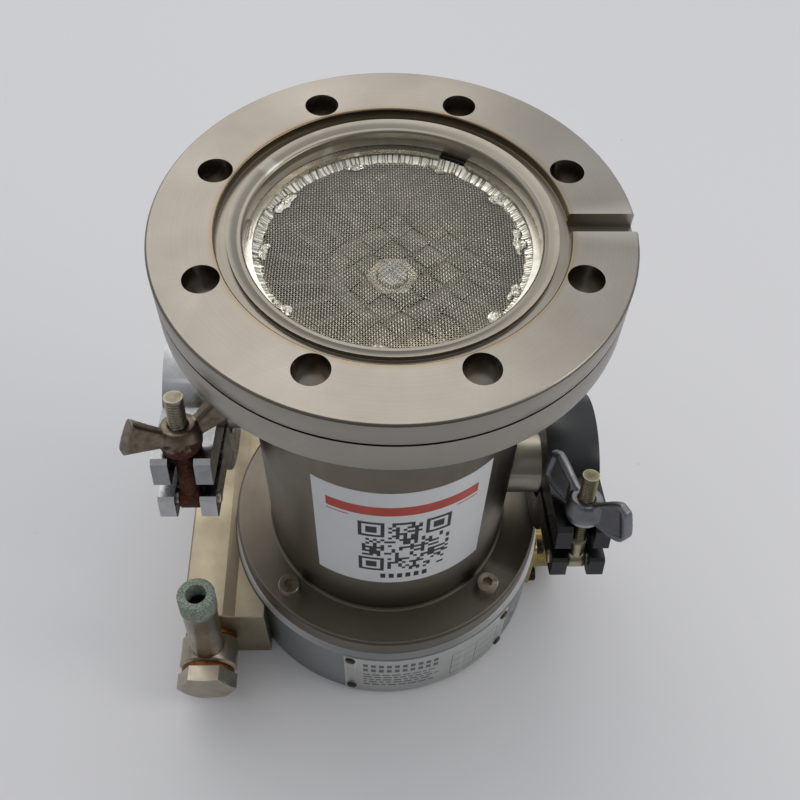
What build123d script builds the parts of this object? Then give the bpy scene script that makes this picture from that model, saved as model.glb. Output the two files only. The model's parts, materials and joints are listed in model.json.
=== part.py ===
from build123d import *
import os
from math import cos, pi, radians, sin, tan

# Turbomolecular pump with a DN 63 CF inlet, two blanked DN 16 ISO-KF side ports, a water-cooled
# base and an electrical receptacle. Millimetres, +Z up, origin at the centre of the base's underside,
# +X along the right-hand side port.

# ---- driving dimensions -------------------------------------------------------------------------
PUMP_H = 171.0          # floor to inlet face
CLEAR = 0.05            # radial running clearance of a turning fit

# inlet flange, DN 63 CF
FLANGE_R = 56.7
FLANGE_T = 17.0
BOLT_PCD = 92.1
BOLT_HOLE_R = 4.2
BOLT_COUNT = 8
BOLT_START = 22.5       # degrees from +X to the first hole
GASKET_R = 41.25
KNIFE_R = 38.6
INLET_R = 35.0
LEDGE_R = 33.2          # lip that the splinter screen rests on
LEDGE_Z = 161.0
SLOT_W = 5.8            # leak-check slot
SLOT_DEPTH = 4.0
RIM_GROOVE_Z = 163.4
RIM_GROOVE_W = 0.8

# casing
CASING_R = 39.0
BORE_R = 36.3
FOOT_R = 51.3
FOOT_Z0, FOOT_Z1 = 32.0, 40.0
FOOT_PCD = 90.0
SEAL_R, SEAL_WIRE = 41.0, 2.4

# base
BASE_R = 52.4
BASE_H = 32.0
BASE_WALL_R = 44.0      # inside of the base's outer wall
COVER_R, COVER_T = 49.5, 3.0
COVER_SCREW_R = 46.8
COVER_SCREW_TURN = 30.0

# ISO-KF ports
KF_TUBE_R, KF_BORE_R = 10.0, 8.0
KF_RIM_R, KF_RIM_T = 15.0, 2.8
KF_GAP = 3.0            # between two clamped faces
KF_TAPER = 15.0         # degrees
RIGHT_PORT = {"x": 55.4, "z": 66.0, "width": 15.6, "wing_r": 16.5, "wing_h": 15.0, "wing_turn": 34.0}
LEFT_PORT = {"x": -52.9, "z": 104.0, "width": 15.0, "wing_r": 13.3, "wing_h": 12.5, "wing_turn": -60.0}

# hinged clamp, seen along the port: U runs from the ring's centre towards the ears, W up the swing bolt
CLAMP_LEAN = 14.0       # degrees that the bolt leans back
CLAMP_R = 22.0
CLAMP_LIP_R = 11.6
BOLT_U = 34.5
PIVOT_W = -6.2
EAR_U = 39.5
EAR_TOP, EAR_BOTTOM = 11.0, -10.0
EAR_GAP, BACK_GAP = 2.2, 0.5
EAR_SLOT = 6.5
HINGE_U = -25.2
PIN_R = 2.0
ROD_R = 2.4
ROD_TOP = 28.0
EYE_R = 3.15
NUT_LIFT = 0.8          # one turn of the M5 thread above the ear
WASHER_T = 1.0

# rotor and stator stack, from the top down
STACK_TOP = 155.0
STAGE_GAP = 0.8
ROTOR_HEIGHTS = [7.0, 5.0, 3.8, 3.2, 3.0]
ROTOR_BLADES = [20, 24, 28, 30, 32]
ROTOR_PITCH = [42.0, 34.0, 28.0, 24.0, 20.0]
STATOR_HEIGHTS = [4.4, 3.4, 2.8, 2.6]
STATOR_BLADES = [24, 26, 28, 30]
STATOR_PITCH = [38.0, 30.0, 26.0, 22.0]
HUB_R = 17.0
TIP_R = 33.2            # flat blade ends, whose corners reach 33.6
STATOR_IN_R = 17.6
RING_IN_R = 34.2
RING_OUT_R = 36.2

# shaft, bearings (608 size) and motor
SHAFT_R = 4.0
BRG_OUT_R, BRG_W = 11.0, 7.0
BALL_PITCH_R, BALL_R = 7.5, 1.98
LOWER_BRG_Z, UPPER_BRG_Z = 14.0, 86.0
MOTOR_Z0, MOTOR_Z1 = 42.0, 72.0
MOTOR_OUT_R, MOTOR_IN_R, MAGNET_R = 18.0, 9.6, 9.0

# cooling block and its banjo fittings
BLOCK_X0, BLOCK_X1 = -67.4, -41.0
BLOCK_Y = 37.3
BLOCK_H = 31.0
FIT_X, FIT_Z = -60.0, 15.0
BANJO_R, BANJO_T = 9.4, 10.2
HEX_AF, HEX_T = 17.0, 5.2
WATER_R = 5.0            # radius of the banjo bolt's thread
BLOCK_SCREW_YS, BLOCK_SCREW_Z = (-14.0, 14.0), 5.6
STUB_R, STUB_BORE_R, STUB_H = 5.4, 3.2, 42.0
STUB_LEAN, STUB_TILT = 4.4, 1.8     # degrees that the stub leans back over the block and inwards
CRUSH_T = 1.7

# electrical receptacle on the base's right
CONN_Z = 15.5
CONN_FACE_X = 50.0
CONN_R = 11.9
CONN_FLANGE = 28.0
CONN_SCREWS = [(y, CONN_Z + z) for y in (-10.9, 10.9) for z in (-10.9, 10.9)]
PIN_PLACES = [(5.6 * cos(pi * i / 3), 5.6 * sin(pi * i / 3)) for i in range(6)] + [(0, 0)]

# rating plate's rivets, as frames whose X points outwards at the plate's face
RIVET_PLACES = [Rot(0, 0, a) * Pos(BASE_R + 0.5, 0, z) for a in (-103.6, -43.4) for z in (4.6, BASE_H - 4.6)]

PARTS = {}


# ---- helpers --------------------------------------------------------------------------------------
def turned(outline):
    """Solid of revolution about Z from a closed outline of (radius, height) points."""
    face = make_face(Polyline(*[(r, 0, z) for r, z in outline], close=True))
    return revolve(face, Axis.Z, 360)


def ring(r_in, r_out, z0, z1):
    """Plain ring between two radii and two heights."""
    return turned([(r_in, z0), (r_out, z0), (r_out, z1), (r_in, z1)])


def disc(radius, z0, z1):
    """Plain cylinder on Z between two heights."""
    return Pos(0, 0, z0) * Cylinder(radius, z1 - z0, align=(Align.CENTER, Align.CENTER, Align.MIN))


def o_ring(radius, wire, z):
    """Elastomer ring squeezed to a six-sided section, its middle at height z."""
    wide, half = wire / 2, wire / 2 - 0.3
    return turned([(radius - wide, z - half / 2), (radius - wide / 2, z - half), (radius + wide / 2, z - half),
                   (radius + wide, z - half / 2), (radius + wide, z + half / 2), (radius + wide / 2, z + half),
                   (radius - wide / 2, z + half), (radius - wide, z + half / 2)])


def around(solid, count, start=0.0):
    """Copies of a solid, evenly spaced about Z."""
    return [Rot(0, 0, start + 360 * i / count) * solid for i in range(count)]


def at_polar(radius, angle):
    """Location at a polar place on the XY plane."""
    return Rot(0, 0, angle) * Pos(radius, 0, 0)


def socket_screw(r_head, h_head, r_shank, length, r_key):
    """Socket-head cap screw with its head's seat at z = 0 and its shank pointing down."""
    body = disc(r_head, 0, h_head) + disc(r_shank, -length, 0)
    body = chamfer(body.edges().group_by(Axis.Z)[-1], 0.3)
    key = extrude(RegularPolygon(r_key, 6), h_head * 0.55)
    return body - Pos(0, 0, h_head * 0.5) * key


def group(solids):
    """One node made of separate solids."""
    return Compound(children=[s for s in solids])


def keep(name, shape, colour):
    """Name a node and set it aside for export."""
    shape.label = name
    shape.color = Color(*colour)
    PARTS[name] = shape


STEEL, SATIN, ALU, RUBBER = (0.66, 0.65, 0.62), (0.5, 0.49, 0.46), (0.7, 0.71, 0.72), (0.08, 0.08, 0.08)
BRASS, NICKEL, BLACK, ZINC = (0.72, 0.58, 0.3), (0.62, 0.59, 0.52), (0.03, 0.03, 0.035), (0.45, 0.45, 0.47)


# ---- inlet and casing ---------------------------------------------------------------------------
def inlet_flange():
    """DN 63 CF flange: knife edge in its recess, bored for the screen, bolt holes, leak-check slot."""
    top, low = PUMP_H, PUMP_H - FLANGE_T
    recess, land = top - 2.4, top - 1.9
    flange = turned([
        (CASING_R, low), (FLANGE_R - 0.5, low), (FLANGE_R, low + 0.5),
        (FLANGE_R, RIM_GROOVE_Z), (FLANGE_R - 1.0, RIM_GROOVE_Z),
        (FLANGE_R - 1.0, RIM_GROOVE_Z + RIM_GROOVE_W), (FLANGE_R, RIM_GROOVE_Z + RIM_GROOVE_W),
        (FLANGE_R, top - 0.5), (FLANGE_R - 0.5, top), (GASKET_R + 0.3, top), (GASKET_R, top - 0.3),
        (GASKET_R, recess), (KNIFE_R, recess), (KNIFE_R, recess + 1.3), (KNIFE_R - 2.4, land - 0.2),
        (INLET_R + 0.4, land - 0.2), (INLET_R, land - 0.6),
        (INLET_R, 164.6), (INLET_R + 1.0, 164.6), (INLET_R + 1.0, 163.2), (INLET_R, 163.2),
        (INLET_R, LEDGE_Z), (LEDGE_R, LEDGE_Z), (LEDGE_R, 157.0), (BORE_R, 157.0),
        (BORE_R, low), (CASING_R - 0.01, low)])
    hole = disc(BOLT_HOLE_R, low - 1, top + 1)
    flange -= [at_polar(BOLT_PCD / 2, BOLT_START + 45 * i) * hole for i in range(BOLT_COUNT)]
    slot = Pos(0, 0, top - SLOT_DEPTH) * Box(
        FLANGE_R, SLOT_W, SLOT_DEPTH + 1, align=(Align.MIN, Align.CENTER, Align.MIN))
    return flange - (slot - disc(GASKET_R - 0.2, top - 5, top + 2))


def casing():
    """Tube with the foot flange at its lower end and the two side-port holes."""
    tube = turned([
        (BORE_R, FOOT_Z0), (FOOT_R - 0.6, FOOT_Z0), (FOOT_R, FOOT_Z0 + 0.6), (FOOT_R, FOOT_Z1 - 0.8),
        (FOOT_R - 0.8, FOOT_Z1), (CASING_R + 0.8, FOOT_Z1), (CASING_R, FOOT_Z1 + 0.8),
        (CASING_R, PUMP_H - FLANGE_T), (BORE_R, PUMP_H - FLANGE_T)])
    for port in (RIGHT_PORT, LEFT_PORT):
        side = 1 if port["x"] > 0 else -1
        tube -= Pos(side * CASING_R, 0, port["z"]) * Rot(0, 90, 0) * Cylinder(KF_BORE_R, 12)
    holes = [at_polar(FOOT_PCD / 2, 45 + 90 * i) * disc(2.25, FOOT_Z0 - 1, FOOT_Z1 + 1) for i in range(4)]
    return tube - holes


def splinter_screen():
    """Wire mesh in a folded rim, as two layers of square wires that lie on each other."""
    pitch, wire, rim = 4.0, 0.6, 32.4
    rim_ring = turned([(rim, LEDGE_Z), (34.6, LEDGE_Z), (34.6, LEDGE_Z + 1.6), (rim, LEDGE_Z + 1.6)])
    wires = []
    for i in range(-7, 8):
        offset = i * pitch
        half = (rim ** 2 - (abs(offset) + wire / 2) ** 2) ** 0.5 - 0.02
        wires.append(Pos(0, offset, LEDGE_Z + 0.4) * Box(2 * half, wire, wire))
        wires.append(Pos(offset, 0, LEDGE_Z + 0.4 + wire) * Box(wire, 2 * half, wire))
    return group([rim_ring] + wires)


def screen_retaining_ring():
    """Open spring ring snapped into the groove above the screen."""
    wire_ring = ring(INLET_R - 1.8, INLET_R + 0.9, 163.3, 164.5)
    gap = Pos(0, 0, 163.9) * Rot(0, 0, 62) * Box(50, 7, 4, align=(Align.MIN, Align.CENTER, Align.CENTER))
    return wire_ring - gap


# ---- ISO-KF side ports --------------------------------------------------------------------------
def port_place(port):
    """Frame whose +Z runs outwards along the port."""
    return Pos(0, 0, port["z"]) * Rot(0, 90 if port["x"] > 0 else -90, 0)


def kf_nipple(port):
    """Weld stub: tube saddled to the casing, ending in a KF flange with a 15 degree back."""
    face = abs(port["x"]) - KF_GAP / 2
    back = face - KF_RIM_T
    taper = (KF_RIM_R - KF_TUBE_R - 1) * tan(radians(KF_TAPER))
    stub = turned([
        (KF_BORE_R, 36.5), (KF_TUBE_R, 36.5), (KF_TUBE_R, back - taper), (KF_TUBE_R + 1, back - taper),
        (KF_RIM_R, back), (KF_RIM_R, face), (8.6, face), (8.6, face - 2.6), (KF_BORE_R, face - 2.6)])
    return port_place(port) * stub - disc(CASING_R, 20, 160)


def kf_blank(port):
    """Blanking flange with the same rim and taper, and a shallow recess for the centring ring."""
    face = abs(port["x"]) + KF_GAP / 2
    back = face + KF_RIM_T
    taper = (KF_RIM_R - KF_TUBE_R - 1) * tan(radians(KF_TAPER))
    blank = turned([
        (0, face + 2.6), (8.6, face + 2.6), (8.6, face), (KF_RIM_R, face), (KF_RIM_R, back),
        (KF_TUBE_R + 1, back + taper), (9.5, back + taper), (9.0, back + taper - 0.5),
        (0, back + taper - 0.5)])
    return port_place(port) * blank


def kf_centring_ring(port):
    """Stainless ring that centres both flanges and backs the seal."""
    mid = abs(port["x"])
    body = turned([
        (7.2, mid - 3.6), (8.5, mid - 3.6), (8.5, mid - 1.2), (9.2, mid - 1.2), (9.2, mid + 1.2),
        (8.5, mid + 1.2), (8.5, mid + 3.6), (7.2, mid + 3.6)])
    return port_place(port) * body


def kf_seal(port):
    """Elastomer ring squeezed flat between the two faces."""
    mid, half = abs(port["x"]), KF_GAP / 2
    body = turned([(9.2, mid - half), (12.4, mid - half), (13.2, mid), (12.4, mid + half), (9.2, mid + half)])
    return port_place(port) * body


# ---- hinged clamp -------------------------------------------------------------------------------
def clamp_plane(port):
    """Plane of the clamp: X towards the ears, Y up the bolt, Z along the port towards -X."""
    lean = radians(CLAMP_LEAN)
    return Plane(origin=(port["x"], 0, port["z"]), x_dir=(0, -cos(lean), sin(lean)), z_dir=(-1, 0, 0))


def clamp_half(port, upper):
    """One jaw: ring half with a tapered groove, a slotted ear in front and a hinge lug behind."""
    sign = 1 if upper else -1
    width = port["width"]
    ear_far = EAR_TOP if upper else -EAR_BOTTOM
    far = ear_far * sign
    near, back = EAR_GAP * sign, BACK_GAP * sign
    span = 3 * CLAMP_R
    side = make_face(Polyline((-span, back), (-CLAMP_R, back), (EAR_U, near), (span, near),
                              (span, span * sign), (-span, span * sign), close=True))
    ear = make_face(Polyline((8, near), (EAR_U - 0.8, near), (EAR_U, near + 0.8 * sign),
                             (EAR_U, far - 1.2 * sign), (EAR_U - 1.2, far), (8, far), close=True))
    jaw = extrude(Circle(CLAMP_R) & side, width / 2, both=True) + extrude(ear, width / 2, both=True)
    lug_w = width / 3 - 0.15
    lug = extrude(Pos(HINGE_U, 0) * Circle(4.2) + Pos(HINGE_U + 4, 2.1 * sign) * Rectangle(9, 4.2),
                  lug_w / 2, both=True)
    if upper:
        jaw += lug
        jaw -= [Pos(HINGE_U, 0, s * width / 3) * Cylinder(4.5, width / 3) for s in (-1, 1)]
    else:
        jaw += [Pos(0, 0, s * width / 3) * lug for s in (-1, 1)]
        jaw -= Pos(HINGE_U, 0, 0) * Cylinder(4.5, width / 3)
    lip = width / 2
    rim_half = KF_GAP / 2 + KF_RIM_T
    rise = (KF_RIM_R + 0.6 - CLAMP_LIP_R) * tan(radians(KF_TAPER))
    jaw -= turned([(0, -lip - 1), (CLAMP_LIP_R, -lip - 1), (CLAMP_LIP_R, -rim_half - rise - 0.08),
                   (KF_RIM_R + 0.6, -rim_half - 0.08), (KF_RIM_R + 0.6, rim_half + 0.08),
                   (CLAMP_LIP_R, rim_half + rise + 0.08), (CLAMP_LIP_R, lip + 1), (0, lip + 1)])
    jaw -= Pos(HINGE_U, 0, 0) * Cylinder(PIN_R, width + 2)
    jaw -= Pos(BOLT_U - EYE_R - 0.25, 0, 0) * Box(
        20, 40, EAR_SLOT, align=(Align.MIN, Align.CENTER, Align.CENTER))
    if not upper:
        jaw -= Pos(BOLT_U, PIVOT_W, 0) * Cylinder(PIN_R, width + 2)
    return clamp_plane(port) * jaw


def clamp_pins(port):
    """Hinge rivet at the back and the swing bolt's pivot pin in the lower ear."""
    length = port["width"] + 1.2
    pin = Cylinder(PIN_R, length)
    pin = chamfer(pin.edges().filter_by(GeomType.CIRCLE), 0.3)
    return group([clamp_plane(port) * (Pos(u, w, 0) * pin) for u, w in ((HINGE_U, 0), (BOLT_U, PIVOT_W))])


def upright(solid, w):
    """Stand a solid made on Z along the swing bolt, its z = 0 at height w."""
    return Pos(BOLT_U, w, 0) * Rot(-90, 0, 0) * solid


def swing_bolt(port):
    """Eye bolt: flat-sided eye on the pivot pin and a rod through both ears."""
    rod = chamfer(disc(ROD_R, 0, ROD_TOP - PIVOT_W).edges().group_by(Axis.Z)[-1], 0.5)
    bolt = upright(rod, PIVOT_W) + Pos(BOLT_U, PIVOT_W, 0) * Cylinder(EYE_R, 5.6)
    bolt -= Pos(BOLT_U, PIVOT_W, 0) * Cylinder(PIN_R + CLEAR, 10)
    return clamp_plane(port) * bolt


def clamp_washer(port):
    """Washer that rides up the bolt under the nut."""
    return clamp_plane(port) * upright(ring(ROD_R + 0.1, 5.0, 0, WASHER_T), EAR_TOP + NUT_LIFT)


def wing_nut(port):
    """Wing nut: turned boss with two wings that rise and widen outwards."""
    boss_h, wing_r, wing_h = 6.5, port["wing_r"], port["wing_h"]
    boss = turned([(ROD_R + CLEAR, 0), (5.2, 0), (5.5, 0.5), (5.5, 1.6), (4.7, boss_h - 0.6), (4.1, boss_h),
                   (ROD_R + CLEAR, boss_h)])
    tip_r = wing_h * 0.27
    hull = make_hull((Pos(3.6, 3.2) * Circle(2.4)).edges() + (Pos(wing_r - tip_r, wing_h - tip_r) * Circle(tip_r)).edges())
    wing = Rot(90, 0, 0) * extrude(hull, 1.5, both=True)
    nut = boss + [wing, Rot(0, 0, 180) * wing]
    nut -= disc(ROD_R + CLEAR, -1, wing_h + 1)
    lift = EAR_TOP + NUT_LIFT + WASHER_T + 0.05
    return clamp_plane(port) * upright(Rot(0, 0, port["wing_turn"]) * nut, lift)


# ---- base ---------------------------------------------------------------------------------------
def pump_base():
    """Turned aluminium base: outer wall, floor over the cable space, bearing boss, connector flat."""
    base = turned([
        (BRG_OUT_R, LOWER_BRG_Z - 1.5), (BRG_OUT_R, 24.0), (20.0, 24.0), (20.0, BASE_H),
        (SEAL_R - 1.6, BASE_H), (SEAL_R - 1.6, BASE_H - 1.9), (SEAL_R + 1.6, BASE_H - 1.9),
        (SEAL_R + 1.6, BASE_H), (BASE_R - 1.5, BASE_H), (BASE_R, BASE_H - 1.5), (BASE_R, 0.6),
        (BASE_R - 0.6, 0), (COVER_R + 0.1, 0), (COVER_R + 0.1, COVER_T), (BASE_WALL_R, COVER_T),
        (BASE_WALL_R, 21.0), (18.0, 21.0), (18.0, 9.0), (SHAFT_R + 1.5, 9.0), (SHAFT_R + 1.5, LOWER_BRG_Z - 1.5)])
    base -= [at_polar(FOOT_PCD / 2, 45 + 90 * i) * disc(1.7, BASE_H - 9, BASE_H + 1) for i in range(4)]
    base -= [at_polar(COVER_SCREW_R, 60 * i + COVER_SCREW_TURN) * disc(1.25, 0, COVER_T + 7) for i in range(6)]
    flat = Pos(CONN_FACE_X, 0, CONN_Z) * Box(
        10, CONN_FLANGE + 0.6, CONN_FLANGE + 0.6, align=(Align.MIN, Align.CENTER, Align.CENTER))
    base -= flat
    base -= Pos(CONN_FACE_X, 0, CONN_Z) * Rot(0, 90, 0) * Cylinder(9.0, 16)
    base -= Rot(0, 0, -34.4) * Pos(BASE_R, 0, 10.5) * Rot(0, 90, 0) * Cylinder(1.65, 12)
    for y, z in CONN_SCREWS:
        base -= Pos(CONN_FACE_X, y, z) * Rot(0, 90, 0) * Cylinder(1.25, 12)
    for y in BLOCK_SCREW_YS:
        base -= Pos(-BASE_R, y, BLOCK_SCREW_Z) * Rot(0, 90, 0) * Cylinder(2.0, 18)
    return base - [place * rivet_hole() for place in RIVET_PLACES]


def base_cover():
    """Plate that closes the cable space from below, with countersunk screw holes."""
    plate = turned([(0, 0), (COVER_R - 0.4, 0), (COVER_R, 0.4), (COVER_R, COVER_T), (0, COVER_T)])
    cone = turned([(0, 0), (2.9, 0), (1.6, 1.5), (1.6, COVER_T), (0, COVER_T)])
    return plate - [at_polar(COVER_SCREW_R, 60 * i + COVER_SCREW_TURN) * cone for i in range(6)]


def base_cover_screws():
    """Six M3 countersunk screws, heads flush with the underside."""
    screw = turned([(0, 0.25), (2.6, 0.25), (1.4, 1.6), (1.2, 2.2), (1.2, COVER_T + 6), (0, COVER_T + 6)])
    return group([at_polar(COVER_SCREW_R, 60 * i + COVER_SCREW_TURN) * screw for i in range(6)])


def foot_flange_screws():
    """Four M4 socket-head screws that hold the casing to the base."""
    screw = socket_screw(3.5, 4.0, 1.65, FOOT_Z1 - FOOT_Z0 + 7.5, 1.75)
    return group([at_polar(FOOT_PCD / 2, 45 + 90 * i) * Pos(0, 0, FOOT_Z1) * screw for i in range(4)])


def rating_plate():
    """Thin bare plate bent round the front of the base."""
    band = ring(BASE_R, BASE_R + 0.5, 2.0, BASE_H - 2.0)
    return (band & sector(-106, -41, BASE_H)) - [place * rivet_hole() for place in RIVET_PLACES]


def rivet_hole():
    """Radial hole through the plate and into the base."""
    return Rot(0, 90, 0) * Cylinder(1.05, 3.4)


def sector(start, end, height):
    """Wedge about Z between two angles."""
    reach = 3 * BASE_R
    corners = [(reach * cos(radians(a)), reach * sin(radians(a))) for a in (start, (start + end) / 2, end)]
    return extrude(make_face(Polyline((0, 0), *corners, close=True)), height)


def plate_rivets():
    """Four drive rivets at the plate's corners."""
    rivet = Rot(0, 90, 0) * turned([(0, -1.5), (1.0, -1.5), (1.0, 0), (1.8, 0), (1.4, 0.6), (0, 0.8)])
    return group([place * rivet for place in RIVET_PLACES])


# ---- cooling block ------------------------------------------------------------------------------
def cooling_block():
    """Water block saddled to the base, drilled through lengthwise, with two screw counterbores."""
    section = make_face(Polyline(
        (BLOCK_X0 + 0.6, 0), (BLOCK_X1, 0), (BLOCK_X1, BLOCK_H - 1.0), (-50.5, BLOCK_H - 1.0),
        (-54.4, BLOCK_H), (BLOCK_X0 + 0.6, BLOCK_H), (BLOCK_X0, BLOCK_H - 0.6), (BLOCK_X0, 0.6), close=True))
    block = extrude(Plane.XZ * section, BLOCK_Y, both=True)
    block -= disc(BASE_R + 0.02, -1, BLOCK_H + 1)
    block -= Pos(FIT_X, 0, FIT_Z) * Rot(90, 0, 0) * Cylinder(WATER_R, 2 * BLOCK_Y + 2)
    for y in BLOCK_SCREW_YS:
        block -= Pos(BLOCK_X0, y, BLOCK_SCREW_Z) * Rot(0, 90, 0) * (Cylinder(4.0, 9) + Cylinder(2.3, 60))
    return block


def cooling_block_screws():
    """Two M4 socket-head screws from the outer side into the base."""
    screw = Rot(0, -90, 0) * socket_screw(3.5, 4.0, 1.95, 18.0, 1.75)
    return group([Pos(BLOCK_X0 + 4.5, y, BLOCK_SCREW_Z) * screw for y in BLOCK_SCREW_YS])


def fitting_end(side):
    """Frame at one end of the water bore, its +Z pointing out of the block."""
    return Pos(FIT_X, side * BLOCK_Y, FIT_Z) * Rot(90 if side < 0 else -90, 0, 0)


def banjo_bolts():
    """Hollow hex bolts through the two banjo rings."""
    seat = 2 * CRUSH_T + BANJO_T
    head = extrude(RegularPolygon(HEX_AF / 2, 6, major_radius=False), HEX_T)
    head &= turned([(0, 0), (HEX_AF, 0), (HEX_AF, HEX_T - 2.6), (HEX_AF / 2 - 0.2, HEX_T), (0, HEX_T)])
    bolt = disc(WATER_R - 0.05, -9, seat) + Pos(0, 0, seat) * head
    bolt -= disc(2.6, -10, seat - 2)
    bolt -= Pos(0, 0, CRUSH_T + BANJO_T / 2) * Rot(0, 90, 0) * Cylinder(2.0, 20)
    return group([fitting_end(side) * bolt for side in (-1, 1)])


def banjo_washers():
    """Copper crush washers on both faces of each banjo ring."""
    washer = ring(WATER_R + 0.1, 8.6, 0, CRUSH_T)
    return group([fitting_end(side) * Pos(0, 0, z) * washer
                  for side in (-1, 1) for z in (0, CRUSH_T + BANJO_T)])


def hose_nozzle(side):
    """Banjo ring with a hose stub that rises from it, leaning back over the block."""
    mid = CRUSH_T + BANJO_T / 2
    low, high = CRUSH_T, CRUSH_T + BANJO_T
    bore = WATER_R + 0.05
    body = turned([(bore, low), (BANJO_R - 0.8, low), (BANJO_R, low + 0.8), (BANJO_R, high - 0.8),
                   (BANJO_R - 0.8, high), (bore, high)])
    stub_at = Pos(FIT_X, side * (BLOCK_Y + mid), FIT_Z) * Rot(STUB_LEAN * side, STUB_TILT, 0)
    stub = turned([(0, 5), (STUB_R, 5), (STUB_R, STUB_H - 9), (STUB_R + 0.4, STUB_H - 8.4),
                   (STUB_R + 0.4, STUB_H - 0.6), (STUB_R - 0.2, STUB_H), (0, STUB_H)])
    nozzle = fitting_end(side) * body + stub_at * stub
    nozzle -= stub_at * disc(STUB_BORE_R, 2, STUB_H + 2)
    nozzle -= fitting_end(side) * disc(bore, low - 1, high + 1)
    nozzle -= fitting_end(side) * (disc(8.8, low - 3, low) + disc(8.8, high, high + 3))
    return nozzle


# ---- electrical receptacle ----------------------------------------------------------------------
def connector_shell():
    """Square-flanged round shell with a locking hole and a chamfered mouth."""
    plate = Box(2.0, CONN_FLANGE, CONN_FLANGE, align=(Align.MIN, Align.CENTER, Align.CENTER))
    plate = fillet(plate.edges().filter_by(Axis.X), 2.5)
    shell = plate + Rot(0, 90, 0) * turned([
        (10.4, 0), (CONN_R, 0), (CONN_R, 12.0), (CONN_R - 0.6, 12.6), (10.4, 12.6)])
    shell -= Rot(0, 90, 0) * disc(10.4, -1, 14)
    shell -= Pos(8.0, 0, 0) * Rot(52, 0, 0) * disc(1.6, 6, 14)
    shell -= Pos(8.0, 0, 0) * Rot(-128, 0, 0) * disc(1.6, 6, 14)
    for y, z in CONN_SCREWS:
        shell -= Pos(0, y, z - CONN_Z) * Rot(0, 90, 0) * Cylinder(1.6, 10)
    return Pos(CONN_FACE_X, 0, CONN_Z) * shell


def connector_insert():
    """Moulded insulator at the back of the shell."""
    body = Rot(0, 90, 0) * (disc(10.3, 0.2, 6.0) + disc(8.0, -5, 0.2))
    body -= [Pos(0, y, z) * Rot(0, 90, 0) * disc(0.7, -6, 8) for y, z in PIN_PLACES]
    return Pos(CONN_FACE_X, 0, CONN_Z) * body


def connector_pins():
    """Contact pins held in the insulator."""
    pin = Rot(0, 90, 0) * disc(0.7, -6, 10.5)
    return group([Pos(CONN_FACE_X, y, CONN_Z + z) * pin for y, z in PIN_PLACES])


def connector_screws():
    """Four black M3 screws at the receptacle's corners."""
    screw = Rot(0, 90, 0) * socket_screw(2.6, 2.6, 1.2, 7.0, 1.25)
    return group([Pos(CONN_FACE_X + 2.0, y, z) * screw for y, z in CONN_SCREWS])




# ---- rotor, stator stack, bearings and motor ----------------------------------------------------
def blade(r_in, r_out, height, pitch, thick):
    """One radial blade, pitched so that it slants across the stage's full height."""
    lean = radians(90 - pitch)
    run = height / 2 / tan(radians(pitch))
    half = thick / 2 / cos(lean)
    face = make_face(Polyline((0, -run - half, -height / 2), (0, -run + half, -height / 2),
                              (0, run + half, height / 2), (0, run - half, height / 2), close=True))
    solid = Pos(r_in, 0, 0) * extrude(face, r_out - r_in, dir=(1, 0, 0))
    return solid


def stage_heights():
    """Mid-height of each rotor and stator stage, from the top down."""
    rotors, stators, z = [], [], STACK_TOP
    for i, height in enumerate(ROTOR_HEIGHTS):
        rotors.append(z - height / 2)
        z -= height + STAGE_GAP
        if i < len(STATOR_HEIGHTS):
            stators.append(z - STATOR_HEIGHTS[i] / 2)
            z -= STATOR_HEIGHTS[i] + STAGE_GAP
    return rotors, stators


ROTOR_Z, STATOR_Z = stage_heights()
STACK_BOTTOM = ROTOR_Z[-1] - ROTOR_HEIGHTS[-1] / 2


def turbine_rotor():
    """Rotor milled from one piece: a bell-shaped hub with five rows of pitched blades."""
    hub = turned([
        (SHAFT_R, STACK_TOP - 5.0), (7.5, STACK_TOP - 5.0), (12.0, STACK_TOP - 1.0), (HUB_R - 1.5, STACK_TOP - 1.0),
        (HUB_R, STACK_TOP - 2.5), (HUB_R, STACK_BOTTOM - 1.0), (30.0, STACK_BOTTOM - 1.0),
        (30.0, STACK_BOTTOM - 4.0), (HUB_R, STACK_BOTTOM - 4.0), (HUB_R, 96.0), (13.0, 96.0),
        (13.0, STACK_BOTTOM), (SHAFT_R + 3.0, STACK_BOTTOM + 4.0), (SHAFT_R, STACK_BOTTOM + 4.0)])
    blades = []
    for z, height, count, pitch in zip(ROTOR_Z, ROTOR_HEIGHTS, ROTOR_BLADES, ROTOR_PITCH):
        blades += around(Pos(0, 0, z) * blade(HUB_R - 1.0, TIP_R, height, pitch, 1.0), count)
    return hub + blades


def stator_disc(index):
    """Ring of blades pitched the other way, between an inner hoop and the outer rim."""
    z, height = STATOR_Z[index], STATOR_HEIGHTS[index]
    one = Pos(0, 0, z) * blade(STATOR_IN_R + 0.4, RING_IN_R + 0.8, height, 180 - STATOR_PITCH[index], 0.9)
    hoops = ring(STATOR_IN_R, STATOR_IN_R + 1.2, z - height / 2, z + height / 2)
    hoops += ring(RING_IN_R, RING_OUT_R, z - height / 2, z + height / 2)
    return hoops + around(one, STATOR_BLADES[index])


def stator_spacers():
    """Plain rings that hold the stator discs apart around each row of rotor blades."""
    tops = [157.0] + [z - h / 2 for z, h in zip(STATOR_Z, STATOR_HEIGHTS)]
    bottoms = [z + h / 2 for z, h in zip(STATOR_Z, STATOR_HEIGHTS)] + [STACK_BOTTOM - 1.0]
    return group([ring(RING_IN_R, RING_OUT_R, low, high) for low, high in zip(bottoms, tops)])


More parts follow.
